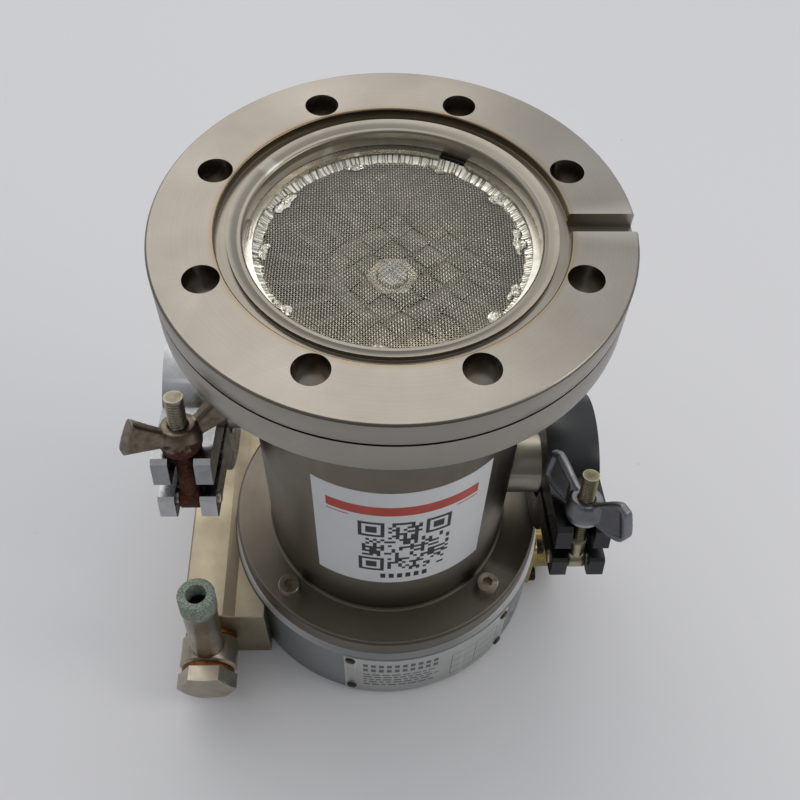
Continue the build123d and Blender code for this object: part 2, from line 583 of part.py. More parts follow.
def support_sleeve():
    """Long sleeve that carries the stator stack, with a window at each side port."""
    sleeve = ring(RING_IN_R - 0.6, RING_OUT_R, BASE_H, STACK_BOTTOM - 1.0)
    for port in (RIGHT_PORT, LEFT_PORT):
        side = 1 if port["x"] > 0 else -1
        sleeve -= Pos(side * RING_OUT_R, 0, port["z"]) * Rot(0, 90, 0) * Cylinder(KF_BORE_R, 12)
    return sleeve


def bearing_carrier():
    """Motor tube standing on the base, with the upper bearing's seat in its head."""
    return turned([
        (MOTOR_OUT_R, 26.0), (19.9, 26.0), (19.9, BASE_H), (30.0, BASE_H), (30.0, BASE_H + 4), (22.0, BASE_H + 4),
        (21.0, BASE_H + 6), (21.0, 78.0), (15.5, 84.0), (12.6, 94.5), (BRG_OUT_R + 0.6, 94.5),
        (BRG_OUT_R + 0.6, UPPER_BRG_Z - 0.4), (7.0, UPPER_BRG_Z - 0.4), (7.0, 80.0), (MOTOR_OUT_R, 76.0)])


def rotor_shaft():
    """Stepped steel shaft through both bearings and the rotor hub."""
    low, high = LOWER_BRG_Z, UPPER_BRG_Z
    return turned([
        (0, 10.0), (SHAFT_R - 0.4, 10.0), (SHAFT_R, 10.4), (SHAFT_R, low + BRG_W), (5.4, low + BRG_W),
        (5.4, 40.0), (6.0, 40.0), (6.0, 74.0), (5.4, 74.0), (5.4, high), (SHAFT_R, high),
        (SHAFT_R, STACK_TOP - 1.6), (SHAFT_R - 0.4, STACK_TOP - 1.2), (0, STACK_TOP - 1.2)])


def rotor_nut():
    """Hexagon nut that clamps the hub down on the shaft."""
    nut = extrude(RegularPolygon(6.5, 6), 3.0) - Cylinder(SHAFT_R, 20)
    return Pos(0, 0, STACK_TOP - 5.0) * nut


def motor_rotor():
    """Magnet sleeve on the shaft."""
    return ring(6.0, MAGNET_R, MOTOR_Z0, MOTOR_Z1)


def motor_core():
    """Laminated stator stack with six slots."""
    core = ring(MOTOR_IN_R, MOTOR_OUT_R, MOTOR_Z0 + 2, MOTOR_Z1 - 2)
    slot = Pos(13.0, 0, (MOTOR_Z0 + MOTOR_Z1) / 2) * Box(4.6, 4.4, MOTOR_Z1 - MOTOR_Z0)
    return core - around(slot, 6)


def motor_windings():
    """Six coils in the slots, joined by their end turns."""
    mid = (MOTOR_Z0 + MOTOR_Z1) / 2
    coil = Pos(13.0, 0, mid) * Box(4.4, 4.2, MOTOR_Z1 - MOTOR_Z0 - 2)
    ends = [ring(10.8, 15.6, MOTOR_Z0 - 3, MOTOR_Z0 + 2), ring(10.8, 15.6, MOTOR_Z1 - 2, MOTOR_Z1 + 3)]
    return ends[0] + ends[1] + around(coil, 6)


def bearing_outer(z):
    """Outer race with its ball groove."""
    low, high = z + 2.2, z + BRG_W - 2.2
    return turned([(9.4, z), (BRG_OUT_R, z), (BRG_OUT_R, z + BRG_W), (9.4, z + BRG_W), (9.4, high + 0.6),
                   (9.56, high), (9.56, low), (9.4, low - 0.6)])


def bearing_inner(z):
    """Inner race with its ball groove."""
    low, high = z + 2.2, z + BRG_W - 2.2
    return turned([(SHAFT_R, z), (5.9, z), (5.9, low - 0.6), (5.44, low), (5.44, high), (5.9, high + 0.6),
                   (5.9, z + BRG_W), (SHAFT_R, z + BRG_W)])


def bearing_balls():
    """Seven balls in each of the two bearings, in five conical bands each."""
    bands = [(BALL_R * cos(radians(a)), BALL_R * sin(radians(a))) for a in (-90, -54, -18, 18, 54, 90)]
    ball = Pos(BALL_PITCH_R, 0, 0) * turned(bands)
    return group([Pos(0, 0, z + BRG_W / 2) * b for z in (LOWER_BRG_Z, UPPER_BRG_Z) for b in around(ball, 7)])


def bearing_dampers():
    """Elastomer rings that carry the bearings softly in their seats."""
    return group([ring(BRG_OUT_R, BRG_OUT_R + 0.6, UPPER_BRG_Z, UPPER_BRG_Z + BRG_W),
                  ring(7.0, BRG_OUT_R, LOWER_BRG_Z - 1.5, LOWER_BRG_Z)])


# ---- assembly -----------------------------------------------------------------------------------
def build():
    """Make every node."""
    keep("inlet_flange", inlet_flange(), STEEL)
    keep("casing", casing(), SATIN)
    keep("splinter_screen", splinter_screen(), STEEL)
    keep("screen_retaining_ring", screen_retaining_ring(), STEEL)
    for side, port, jaw_colour in (("right", RIGHT_PORT, BLACK), ("left", LEFT_PORT, ALU)):
        keep(f"{side}_port", kf_nipple(port), SATIN)
        keep(f"{side}_port_blank", kf_blank(port), SATIN)
        keep(f"{side}_centring_ring", kf_centring_ring(port), STEEL)
        keep(f"{side}_port_seal", kf_seal(port), RUBBER)
        keep(f"{side}_clamp_upper_jaw", clamp_half(port, True), jaw_colour)
        keep(f"{side}_clamp_lower_jaw", clamp_half(port, False), jaw_colour)
        keep(f"{side}_clamp_pins", clamp_pins(port), STEEL)
        keep(f"{side}_swing_bolt", swing_bolt(port), BRASS)
        keep(f"{side}_clamp_washer", clamp_washer(port), STEEL)
        keep(f"{side}_wing_nut", wing_nut(port), ZINC)
    keep("pump_base", pump_base(), (0.46, 0.49, 0.5))
    keep("base_cover", base_cover(), ALU)
    keep("base_cover_screws", base_cover_screws(), STEEL)
    keep("casing_o_ring", o_ring(SEAL_R, SEAL_WIRE - 0.5, BASE_H - 0.95), RUBBER)
    keep("foot_flange_screws", foot_flange_screws(), STEEL)
    keep("rating_plate", rating_plate(), ALU)
    keep("plate_rivets", plate_rivets(), STEEL)
    keep("cooling_block", cooling_block(), NICKEL)
    keep("cooling_block_screws", cooling_block_screws(), STEEL)
    keep("banjo_bolts", banjo_bolts(), NICKEL)
    keep("banjo_washers", banjo_washers(), BRASS)
    keep("front_hose_nozzle", hose_nozzle(-1), NICKEL)
    keep("rear_hose_nozzle", hose_nozzle(1), NICKEL)
    keep("connector_shell", connector_shell(), BRASS)
    keep("connector_insert", connector_insert(), BLACK)
    keep("connector_pins", connector_pins(), BRASS)
    keep("connector_screws", connector_screws(), BLACK)
    for i in range(len(STATOR_HEIGHTS)):
        keep(f"stator_disc_{i + 1}", stator_disc(i), ALU)
    keep("stator_spacers", stator_spacers(), ALU)
    keep("support_sleeve", support_sleeve(), ALU)
    keep("bearing_carrier", bearing_carrier(), ALU)
    keep("motor_core", motor_core(), ZINC)
    keep("motor_windings", motor_windings(), BRASS)
    keep("turbine_rotor", turbine_rotor(), ALU)
    keep("rotor_shaft", rotor_shaft(), STEEL)
    keep("rotor_nut", rotor_nut(), STEEL)
    keep("motor_rotor", motor_rotor(), ZINC)
    for name, z in (("lower", LOWER_BRG_Z), ("upper", UPPER_BRG_Z)):
        keep(f"{name}_bearing_outer_race", bearing_outer(z), STEEL)
        keep(f"{name}_bearing_inner_race", bearing_inner(z), STEEL)
    keep("bearing_balls", bearing_balls(), STEEL)
    keep("bearing_dampers", bearing_dampers(), RUBBER)


build()
os.makedirs("parts", exist_ok=True)
for node, shape in PARTS.items():
    export_step(shape, f"parts/{node}.step")
print(len(PARTS), "nodes")
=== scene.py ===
"""Looks of a turbomolecular vacuum pump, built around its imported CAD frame.

Every length in this file is in millimetres unless its name says otherwise, and every point is in
the frame's own axes: +Z up along the rotor, +X along the right-hand side port, origin under the base.
"""

import json
import logging
import math
import random
from dataclasses import dataclass, field
from enum import Enum
from typing import Callable, ClassVar, Sequence

import bmesh
import bpy
from mathutils import Matrix, Vector, noise


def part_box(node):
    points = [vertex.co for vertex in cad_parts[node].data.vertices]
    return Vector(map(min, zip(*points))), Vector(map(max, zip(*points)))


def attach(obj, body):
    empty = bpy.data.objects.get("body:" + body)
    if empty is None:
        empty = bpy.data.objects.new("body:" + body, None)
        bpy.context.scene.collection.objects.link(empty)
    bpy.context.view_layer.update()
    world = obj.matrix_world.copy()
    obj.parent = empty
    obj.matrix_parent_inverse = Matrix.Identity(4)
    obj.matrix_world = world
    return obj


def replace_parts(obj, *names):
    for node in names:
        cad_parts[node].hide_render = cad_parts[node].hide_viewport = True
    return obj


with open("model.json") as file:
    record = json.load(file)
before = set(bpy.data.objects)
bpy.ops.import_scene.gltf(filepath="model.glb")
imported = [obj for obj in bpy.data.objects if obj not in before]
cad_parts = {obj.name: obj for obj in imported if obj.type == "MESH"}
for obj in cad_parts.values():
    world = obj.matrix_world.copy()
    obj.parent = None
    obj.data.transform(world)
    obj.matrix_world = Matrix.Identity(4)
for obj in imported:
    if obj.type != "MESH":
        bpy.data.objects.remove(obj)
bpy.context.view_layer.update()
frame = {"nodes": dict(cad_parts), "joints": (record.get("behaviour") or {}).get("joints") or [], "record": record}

MM = 0.001
# Width of the camera's sensor.
SENSOR = 36.0
# Corners of a CAD mesh closer than the gap are one; edges sharper than the angle, in degrees, are rounded.
WELD_GAP = 0.002
BEVEL_FROM_ANGLE = 38.0
Point = tuple[float, float, float]
Outline = Sequence[tuple[float, float]]
log = logging.getLogger("pump")


# ---- small tools ----------------------------------------------------------------------------------
def linear(hex_colour: str) -> tuple[float, float, float, float]:
    """Turn an sRGB hex colour into the linear RGBA that the shaders take.

    Args:
        hex_colour: six hex digits, with or without a leading hash.

    Returns:
        Linear red, green and blue, and an alpha of 1.
    """
    digits = hex_colour.lstrip("#")
    channels = [int(digits[i : i + 2], 16) / 255 for i in (0, 2, 4)]
    red, green, blue = [c / 12.92 if c <= 0.04045 else ((c + 0.055) / 1.055) ** 2.4 for c in channels]
    return red, green, blue, 1.0


def add_node(
    tree: bpy.types.NodeTree,
    kind: str,
    settings: dict | None = None,
    links: dict | None = None,
) -> bpy.types.Node:
    """Add one shader node with its settings and incoming links.

    Args:
        tree: node tree that receives the node.
        kind: Blender's name of the node type.
        settings: property names, socket names or socket numbers, with their values.
        links: input socket names or numbers, with the sockets that feed them.

    Returns:
        The new node.
    """
    node = tree.nodes.new(kind)
    for key, value in (settings or {}).items():
        if isinstance(key, str) and hasattr(node, key):
            setattr(node, key, value)
        else:
            node.inputs[key].default_value = value
    for key, source in (links or {}).items():
        tree.links.new(source, node.inputs[key])
    return node


def box_mm(node: str) -> tuple[Vector, Vector]:
    """Lowest and highest corner of a CAD node, in millimetres."""
    low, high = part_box(node)
    return low / MM, high / MM


# ---- finishes -------------------------------------------------------------------------------------
class Grain(Enum):
    """Direction in which a surface's fine marks run."""

    ROUND_Z = "rings about the pump's axis"
    ROUND_X = "rings about the side ports' axis"
    UP = "drawn lines that run up the part"
    EVEN = "no direction, as blasting, casting or moulding leaves it"


@dataclass(frozen=True)
class Finish:
    """One material as its maker would name it, with how its surface was made.

    Args:
        name: common name and process, used as the Blender material's name.
        colour: main sRGB hex colour.
        shade: sRGB hex colour of the mottling.
        metallic: 1 for bare metal, 0 for plastic, rubber, paint or paper.
        roughness: mean roughness.
        swing: how far the mottling moves the roughness.
        mottle: size of the mottling.
        mottling: how strongly the shade shows, from 0 to 1.
        grain: direction of the fine marks.
        grain_size: width of one fine mark; finer real marks are drawn this coarse so that they show.
        grain_tone: how far the marks darken the colour.
        grain_depth: depth of the marks.
        stretch: anisotropy of the highlights.
        coat: clear coat, such as a glaze or an oil film.
        edge: sRGB hex colour of worn edges, or None.
        edge_share: how strongly the worn edges show.
    """

    name: str
    colour: str
    shade: str
    metallic: float = 1.0
    roughness: float = 0.4
    swing: float = 0.1
    mottle: float = 12.0
    mottling: float = 0.5
    grain: Grain = Grain.EVEN
    grain_size: float = 0.4
    grain_tone: float = 0.12
    grain_depth: float = 0.01
    stretch: float = 0.0
    coat: float = 0.0
    edge: str | None = None
    edge_share: float = 0.6
    made: ClassVar[dict] = {}

    def material(self) -> bpy.types.Material:
        """Build the material once and hand out the same one afterwards.

        Returns:
            The Blender material of this finish.
        """
        if self.name in Finish.made:
            return Finish.made[self.name]
        material = bpy.data.materials.new(self.name)
        material.use_nodes = True
        material.diffuse_color = linear(self.colour)
        tree = material.node_tree
        shader = tree.nodes["Principled BSDF"]
        shader.inputs["Metallic"].default_value = self.metallic
        shader.inputs["Anisotropic"].default_value = self.stretch
        shader.inputs["Coat Weight"].default_value = self.coat
        shader.inputs["Coat Roughness"].default_value = 0.08
        point = self.point(tree)
        marks = self.marks(tree, point)
        clouds = add_node(
            tree,
            "ShaderNodeTexNoise",
            {"Scale": 1 / self.mottle, "Detail": 4.0, "Roughness": 0.6},
            {"Vector": point},
        ).outputs["Fac"]
        spread = add_node(
            tree,
            "ShaderNodeMapRange",
            {"From Min": 0.32, "From Max": 0.68, "To Min": 0.0, "To Max": self.mottling},
            {"Value": clouds},
        ).outputs["Result"]
        colour = self.mix(tree, spread, linear(self.colour), linear(self.shade))
        tone = add_node(
            tree,
            "ShaderNodeMapRange",
            {"From Min": 0.3, "From Max": 0.7, "To Min": 1 - self.grain_tone, "To Max": 1 + self.grain_tone},
            {"Value": marks},
        ).outputs["Result"]
        colour = add_node(
            tree, "ShaderNodeVectorMath", {"operation": "SCALE"}, {0: colour, "Scale": tone}
        ).outputs["Vector"]
        rough = add_node(
            tree,
            "ShaderNodeMapRange",
            {
                "From Min": 0.3,
                "From Max": 0.7,
                "To Min": max(0.02, self.roughness - self.swing),
                "To Max": self.roughness + self.swing,
            },
            {"Value": clouds},
        ).outputs["Result"]
        if self.edge:
            colour = self.mix(tree, self.worn_edges(tree), colour, linear(self.edge))
        colour, rough = self.special(tree, point, colour, rough)
        bump = add_node(
            tree,
            "ShaderNodeBump",
            {"Strength": 1.0, "Distance": self.grain_depth * MM},
            {"Height": marks},
        )
        tree.links.new(colour, shader.inputs["Base Color"])
        tree.links.new(rough, shader.inputs["Roughness"])
        tree.links.new(bump.outputs["Normal"], shader.inputs["Normal"])
        if self.stretch:
            axis = "X" if self.grain is Grain.ROUND_X else "Z"
            tangent = add_node(tree, "ShaderNodeTangent", {"direction_type": "RADIAL", "axis": axis})
            tree.links.new(tangent.outputs["Tangent"], shader.inputs["Tangent"])
        Finish.made[self.name] = material
        return material

    def point(self, tree: bpy.types.NodeTree) -> bpy.types.NodeSocket:
        """Place on the object, in millimetres."""
        place = add_node(tree, "ShaderNodeTexCoord").outputs["Object"]
        scaled = add_node(tree, "ShaderNodeVectorMath", {"operation": "SCALE", "Scale": 1 / MM}, {0: place})
        return scaled.outputs["Vector"]

    def marks(self, tree: bpy.types.NodeTree, point: bpy.types.NodeSocket) -> bpy.types.NodeSocket:
        """Fine marks that the process left, from 0 to 1.

        Args:
            tree: node tree of the material.
            point: place on the object, in millimetres.

        Returns:
            Socket with the height of the marks.
        """
        stretched = {Grain.EVEN: (1, 1, 1), Grain.UP: (1, 1, 0.02)}
        if self.grain in stretched:
            source = add_node(
                tree, "ShaderNodeVectorMath", {"operation": "MULTIPLY", 1: stretched[self.grain]}, {0: point}
            ).outputs["Vector"]
        else:
            parts = add_node(tree, "ShaderNodeSeparateXYZ", links={"Vector": point}).outputs
            flat, depth = ((0, 1), 2) if self.grain is Grain.ROUND_Z else ((1, 2), 0)
            across = add_node(tree, "ShaderNodeCombineXYZ", links={0: parts[flat[0]], 1: parts[flat[1]]})
            radius = add_node(
                tree, "ShaderNodeVectorMath", {"operation": "LENGTH"}, {0: across.outputs["Vector"]}
            ).outputs["Value"]
            rings = add_node(tree, "ShaderNodeCombineXYZ", links={0: radius, 2: parts[depth]})
            source = rings.outputs["Vector"]
        return add_node(
            tree,
            "ShaderNodeTexNoise",
            {"Scale": 1 / self.grain_size, "Detail": 3.0, "Roughness": 0.65},
            {"Vector": source},
        ).outputs["Fac"]

    @staticmethod
    def mix(
        tree: bpy.types.NodeTree,
        factor: bpy.types.NodeSocket,
        first: bpy.types.NodeSocket | tuple,
        second: bpy.types.NodeSocket | tuple,
    ) -> bpy.types.NodeSocket:
        """Blend two colours by a factor.

        Args:
            tree: node tree of the material.
            factor: 0 gives the first colour and 1 the second.
            first: a socket or a linear colour.
            second: a socket or a linear colour.

        Returns:
            Socket with the blended colour.
        """
        settings, links = {"data_type": "RGBA"}, {0: factor}
        for place, value in ((6, first), (7, second)):
            if isinstance(value, tuple):
                settings[place] = value
            else:
                links[place] = value
        return add_node(tree, "ShaderNodeMix", settings, links).outputs[2]

    def worn_edges(self, tree: bpy.types.NodeTree) -> bpy.types.NodeSocket:
        """Mask of the convex edges, where handling wears a finish first."""
        sharp = add_node(tree, "ShaderNodeNewGeometry").outputs["Pointiness"]
        return add_node(
            tree,
            "ShaderNodeMapRange",
            {"From Min": 0.51, "From Max": 0.58, "To Min": 0.0, "To Max": self.edge_share},
            {"Value": sharp},
        ).outputs["Result"]

    def special(
        self,
        tree: bpy.types.NodeTree,
        point: bpy.types.NodeSocket,
        colour: bpy.types.NodeSocket,
        rough: bpy.types.NodeSocket,
    ) -> tuple[bpy.types.NodeSocket, bpy.types.NodeSocket]:
        """What only one finish has, such as a tint or a stain; a plain finish has nothing.

        Args:
            tree: node tree of the material.
            point: place on the object, in millimetres.
            colour: socket with the colour so far.
            rough: socket with the roughness so far.

        Returns:
            The colour and roughness sockets that the shader takes.
        """
        return colour, rough


@dataclass(frozen=True)
class BandedFinish(Finish):
    """A finish with one ring-shaped or level band of another tint, or of painted highlight.

    Args:
        band: lower and upper limit of the band.
        band_colour: sRGB hex colour in the band.
        band_on_height: True measures the band in height, False in radius from the pump's axis.
        band_share: how strongly the band shows.
        band_soft: width over which the band fades.
    """

    band: tuple[float, float] = (0.0, 1.0)
    band_colour: str = "ffffff"
    band_on_height: bool = False
    band_share: float = 0.5
    band_soft: float = 0.6

    def special(self, tree, point, colour, rough):
        """Tint the band; see Finish.special for the arguments and the result."""
        parts = add_node(tree, "ShaderNodeSeparateXYZ", links={"Vector": point}).outputs
        if self.band_on_height:
            measure = parts[2]
        else:
            flat = add_node(tree, "ShaderNodeCombineXYZ", links={0: parts[0], 1: parts[1]})
            across = flat.outputs["Vector"]
            length = add_node(tree, "ShaderNodeVectorMath", {"operation": "LENGTH"}, {0: across})
            measure = length.outputs["Value"]
        middle, half = sum(self.band) / 2, (self.band[1] - self.band[0]) / 2
        offset = add_node(tree, "ShaderNodeMath", {"operation": "SUBTRACT", 1: middle}, {0: measure})
        away = add_node(tree, "ShaderNodeMath", {"operation": "ABSOLUTE"}, {0: offset.outputs[0]}).outputs[0]
        mask = add_node(
            tree,
            "ShaderNodeMapRange",
            {"From Min": half - self.band_soft, "From Max": half, "To Min": self.band_share, "To Max": 0.0},
            {"Value": away},
        ).outputs["Result"]
        return self.mix(tree, mask, colour, linear(self.band_colour)), rough


@dataclass(frozen=True)
class StainedFinish(Finish):
    """A finish with patches of a crust, such as rust on steel or verdigris on brass.

    Args:
        crust: sRGB hex colour of the crust.
        crust_shade: sRGB hex colour of its darker parts.
        crust_size: size of the patches.
        crust_cover: share of the surface under the crust, from 0 to 1.
        crust_rough: roughness of the crust.
        crust_from: height at which the crust begins, or None for patches all over.
        crust_upwards: whether the crust lies above that height or below it.
        crust_near: x, y, z and reach of a ball inside which the crust is solid, or None.
    """

    crust: str = "7a4526"
    crust_shade: str = "4a2a1a"
    crust_size: float = 2.5
    crust_cover: float = 0.5
    crust_rough: float = 0.85
    crust_from: float | None = None
    crust_upwards: bool = True
    crust_near: tuple[float, float, float, float] | None = None

    def special(self, tree, point, colour, rough):
        """Lay the crust; see Finish.special for the arguments and the result."""
        patches = add_node(
            tree,
            "ShaderNodeTexNoise",
            {"Scale": 1 / self.crust_size, "Detail": 6.0, "Roughness": 0.7},
            {"Vector": point},
        ).outputs["Fac"]
        middle = 0.68 - 0.36 * self.crust_cover
        lifts = []
        if self.crust_from is not None:
            height = add_node(tree, "ShaderNodeSeparateXYZ", links={"Vector": point}).outputs[2]
            way = 1 if self.crust_upwards else -1
            lifts.append((height, (self.crust_from - 3 * way, self.crust_from + way)))
        if self.crust_near is not None:
            away = add_node(
                tree, "ShaderNodeVectorMath", {"operation": "DISTANCE", 1: self.crust_near[:3]}, {0: point}
            ).outputs["Value"]
            lifts.append((away, (self.crust_near[3] + 2, self.crust_near[3] - 1)))
        for measure, (bare, solid) in lifts:
            lift = add_node(
                tree,
                "ShaderNodeMapRange",
                {"From Min": bare, "From Max": solid, "To Min": -0.5, "To Max": 0.2},
                {"Value": measure},
            ).outputs["Result"]
            patches = add_node(tree, "ShaderNodeMath", {"operation": "ADD"}, {0: patches, 1: lift}).outputs[0]
        mask = add_node(
            tree,
            "ShaderNodeMapRange",
            {"From Min": middle - 0.05, "From Max": middle + 0.05},
            {"Value": patches},
        ).outputs["Result"]
        speckle = add_node(
            tree, "ShaderNodeTexNoise", {"Scale": 3 / self.crust_size, "Detail": 3.0}, {"Vector": point}
        ).outputs["Fac"]
        contrast = add_node(
            tree, "ShaderNodeMapRange", {"From Min": 0.35, "From Max": 0.65}, {"Value": speckle}
        ).outputs["Result"]
        crust = self.mix(tree, contrast, linear(self.crust), linear(self.crust_shade))
        shader = tree.nodes["Principled BSDF"]
        metal = add_node(
            tree, "ShaderNodeMapRange", {"To Min": self.metallic, "To Max": 0.0}, {"Value": mask}
        ).outputs["Result"]
        tree.links.new(metal, shader.inputs["Metallic"])
        dull = add_node(
            tree, "ShaderNodeMix", {"data_type": "FLOAT", 3: self.crust_rough}, {0: mask, 2: rough}
        ).outputs[0]
        return self.mix(tree, mask, colour, crust), dull


# Austenitic stainless steel, faced on a lathe: warm grey, with fan-shaped highlights across its rings.
FACED_STAINLESS = BandedFinish(
    "stainless_steel_faced_on_lathe", "8b857b", "7e776d", roughness=0.30, swing=0.05, mottle=30.0,
    grain=Grain.ROUND_Z, grain_size=0.5, grain_tone=0.07, grain_depth=0.004, stretch=0.8, edge="d6d1c8",
    edge_share=0.5, band=(40.9, 42.6), band_colour="8f7c5e", band_share=0.55,
)
# The same steel, blasted and handled, with a soft sheen; its darker brownish colour is partly painted shade for
# the casing's front.
SHADED_BLASTED_STAINLESS = Finish(
    "stainless_steel_bead_blasted_painted_shade", "756e63", "625b51", roughness=0.42, swing=0.06, mottle=26.0,
    grain=Grain.ROUND_Z, grain_size=0.6, grain_tone=0.04, grain_depth=0.004, stretch=0.35, edge="aca598",
    edge_share=0.4,
)
# Tube of the same steel, turned: its rings run about the side ports' axis.
TURNED_TUBE = Finish(
    "stainless_steel_turned_tube", "a59e92", "8c857b", roughness=0.34, swing=0.05, mottle=14.0,
    grain=Grain.ROUND_X, grain_size=0.5, grain_tone=0.05, grain_depth=0.004, stretch=0.5, edge="d8d2c8",
)
# Drawn stainless wire: bright and smooth.
DRAWN_WIRE = Finish(
    "stainless_wire_drawn", "e6e1d4", "b8b2a6", roughness=0.28, swing=0.08, mottle=2.0, grain_tone=0.06,
    grain_depth=0.002,
)
# Spot-welded and pressed wire: melted together, so it shines.
MELTED_WIRE = Finish(
    "stainless_wire_spot_welded", "e2ddd0", "b9b3a6", roughness=0.22, swing=0.08, mottle=1.5, grain_tone=0.1,
    grain_depth=0.05,
)
# Anodised aluminium, turned: cool blue-grey. The pale band round the top chamfer, where the tool broke the edge,
# is a painted highlight.
ANODISED_BASE = BandedFinish(
    "aluminium_anodised_turned", "84898a", "737879", roughness=0.38, swing=0.05, mottle=22.0,
    grain=Grain.ROUND_Z, grain_size=0.6, grain_tone=0.04, grain_depth=0.003, stretch=0.3, edge="d2d6d8",
    # band and band_colour: painted highlight on the top chamfer
    band=(30.3, 32.4), band_colour="d5d7d6", band_on_height=True, band_share=0.8, band_soft=0.3,
)
# Aluminium sheet, rolled and clear-coated: pale, with faint upright rolling lines.
PLATE_SHEET = Finish(
    "aluminium_sheet_lacquered", "b9bab8", "a4a5a2", roughness=0.35, swing=0.05, grain=Grain.UP,
    grain_size=0.5, grain_tone=0.05, grain_depth=0.003, edge="e0e0de",
)
# Fastener steel, zinc plated and tarnished: brownish in its recesses and bright on its edges.
SCREW_STEEL = Finish(
    "steel_zinc_plated_tarnished", "9a8f7d", "5f5545", roughness=0.36, swing=0.1, mottle=3.0, mottling=0.7,
    grain_tone=0.08, edge="d6cdbd", edge_share=0.8,
)
# Brass, matt nickel plated: beige, with cloudy stains.
NICKEL_BLOCK = Finish(
    "brass_matt_nickel_plated", "9c907a", "7d725c", roughness=0.46, swing=0.07, mottle=16.0, mottling=0.75,
    grain_size=0.35, grain_tone=0.05, edge="c4baa4", edge_share=0.6,
)
# Brass fitting, bright nickel plated and handled.
NICKEL_FITTING = Finish(
    "brass_nickel_plated_handled", "aea393", "887d6c", roughness=0.33, swing=0.08, mottle=7.0, mottling=0.7,
    grain_tone=0.05, edge="e2d9c9", edge_share=0.6,
)
# The same fitting where water stood: verdigris over its upper end.
NICKEL_NOZZLE = StainedFinish(
    "brass_nickel_plated_verdigris", "aea393", "887d6c", roughness=0.33, swing=0.08, mottle=7.0, mottling=0.7,
    grain_tone=0.05, edge="e2d9c9", crust="a3ae9f", crust_shade="5c6a5b", crust_size=1.6, crust_rough=0.75,
    crust_from=50.5,
)
# Soft copper washer, crushed and oxidised.
COPPER_WASHER = Finish(
    "copper_annealed_oxidised", "8a5a32", "5b3a20", roughness=0.5, swing=0.1, mottle=2.0, mottling=0.8,
)
# Enamelled copper wire, wound.
WINDING_WIRE = Finish("copper_wire_enamelled", "a8542a", "7d3a1c", roughness=0.3, mottle=1.5, coat=0.4)
# Yellow chromate over zinc: olive yellow, darker where it is thick.
YELLOW_CHROMATE = Finish(
    "zinc_yellow_chromated", "a8955a", "7c6a34", roughness=0.34, swing=0.08, mottle=5.0, mottling=0.8,
    edge="d8c890",
)
# Nylon, injection moulded: black and glossy.
MOULDED_NYLON = Finish(
    "nylon_moulded_black", "08090a", "0e1012", metallic=0.0, roughness=0.30, swing=0.06, mottle=9.0,
    grain_size=0.5, grain_tone=0.1, grain_depth=0.004, edge="1c1e21", edge_share=0.5,
)
# Black insulator of the receptacle, moulded and matt.
MOULDED_INSULATOR = Finish(
    "phenolic_moulded_black", "1b1a19", "26231f", metallic=0.0, roughness=0.5, grain_depth=0.004,
)
# Contact pins, turned brass with a gold flash.
GOLD_FLASH = Finish("brass_gold_flashed", "c9a552", "9f7f3a", roughness=0.25, mottle=2.0)
# Blackened steel of the receptacle's screws.
BLACKED_STEEL = Finish(
    "steel_black_oxide", "27241f", "1b1916", roughness=0.42, mottle=2.0, edge="6b6252", edge_share=0.6,
)
# Aluminium clamp, gravity cast and tumbled: bright, with small dents that catch the light.
CAST_ALUMINIUM = Finish(
    "aluminium_cast_tumbled", "8f9091", "6c6d6f", roughness=0.24, swing=0.08, mottle=4.0, mottling=0.7,
    grain_size=0.9, grain_tone=0.06, grain_depth=0.03, edge="dcdddd", edge_share=0.8,
)
# Zinc, die cast: dull blue-grey with a slight orange peel.
DIE_CAST_ZINC = Finish(
    "zinc_die_cast", "85868a", "6a6b70", roughness=0.40, swing=0.06, mottle=5.0, mottling=0.6, grain_size=0.8,
    grain_tone=0.05, grain_depth=0.03, edge="b9babd", edge_share=0.7,
)
# Cast steel wing nut, plated: brown-grey, with rust round its boss.
LEFT_NUT_BOSS = (-52.9, -31.0, 124.5)
RUSTED_NUT = StainedFinish(
    "steel_cast_plated_rusted", "857a6b", "5f5446", roughness=0.4, swing=0.1, mottle=2.5, mottling=0.7,
    edge="b3a999", crust="5f2f1b", crust_shade="35190c", crust_size=2.4, crust_cover=0.55,
    crust_near=(*LEFT_NUT_BOSS, 5.6),
)
# Swing bolt of plated steel: tarnished above the nut, rusty below it.
RUSTED_BOLT = StainedFinish(
    "steel_plated_rusted_shank", "a39a88", "7b7161", roughness=0.34, swing=0.1, mottle=2.0, mottling=0.6,
    edge="d3cbba", crust="66361f", crust_shade="3a1d10", crust_size=2.2, crust_cover=0.6, crust_from=124.0,
    crust_upwards=False,
)
# Swing bolt with its yellow chromate nearly worn off: olive brown.
WORN_CHROMATE = Finish(
    "steel_chromate_worn", "857d62", "655d44", roughness=0.36, swing=0.08, mottle=2.5, mottling=0.7,
    edge="c9c1a6",
)
# Aluminium alloy, milled: the blades and the stator rings.
MILLED_ALUMINIUM = Finish(
    "aluminium_milled_blades", "6f6c66", "5e5b55", roughness=0.45, swing=0.05, mottle=6.0,
    grain=Grain.ROUND_Z, grain_size=0.5, grain_tone=0.05, edge="8a8780",
)
# Silicon steel sheets, stacked and varnished.
LAMINATED_STEEL = Finish(
    "silicon_steel_laminated", "5b5c5f", "3f4043", roughness=0.5, grain=Grain.UP, grain_size=0.5,
    grain_tone=0.15,
)
# Bearing steel, ground.
GROUND_STEEL = Finish("bearing_steel_ground", "b9b9ba", "a3a3a5", roughness=0.15, swing=0.03)
# Fluoroelastomer, moulded.
SEAL_RUBBER = Finish(
    "fluoroelastomer_moulded", "1a1817", "242120", metallic=0.0, roughness=0.6, grain_depth=0.005,
)
# Coated label paper: white, hardly glossy.
LABEL_PAPER = Finish(
    "label_paper_coated", "e9eaea", "dfe0e1", metallic=0.0, roughness=0.45, swing=0.03, mottle=18.0,
    grain_size=0.3, grain_tone=0.01, grain_depth=0.002,
)
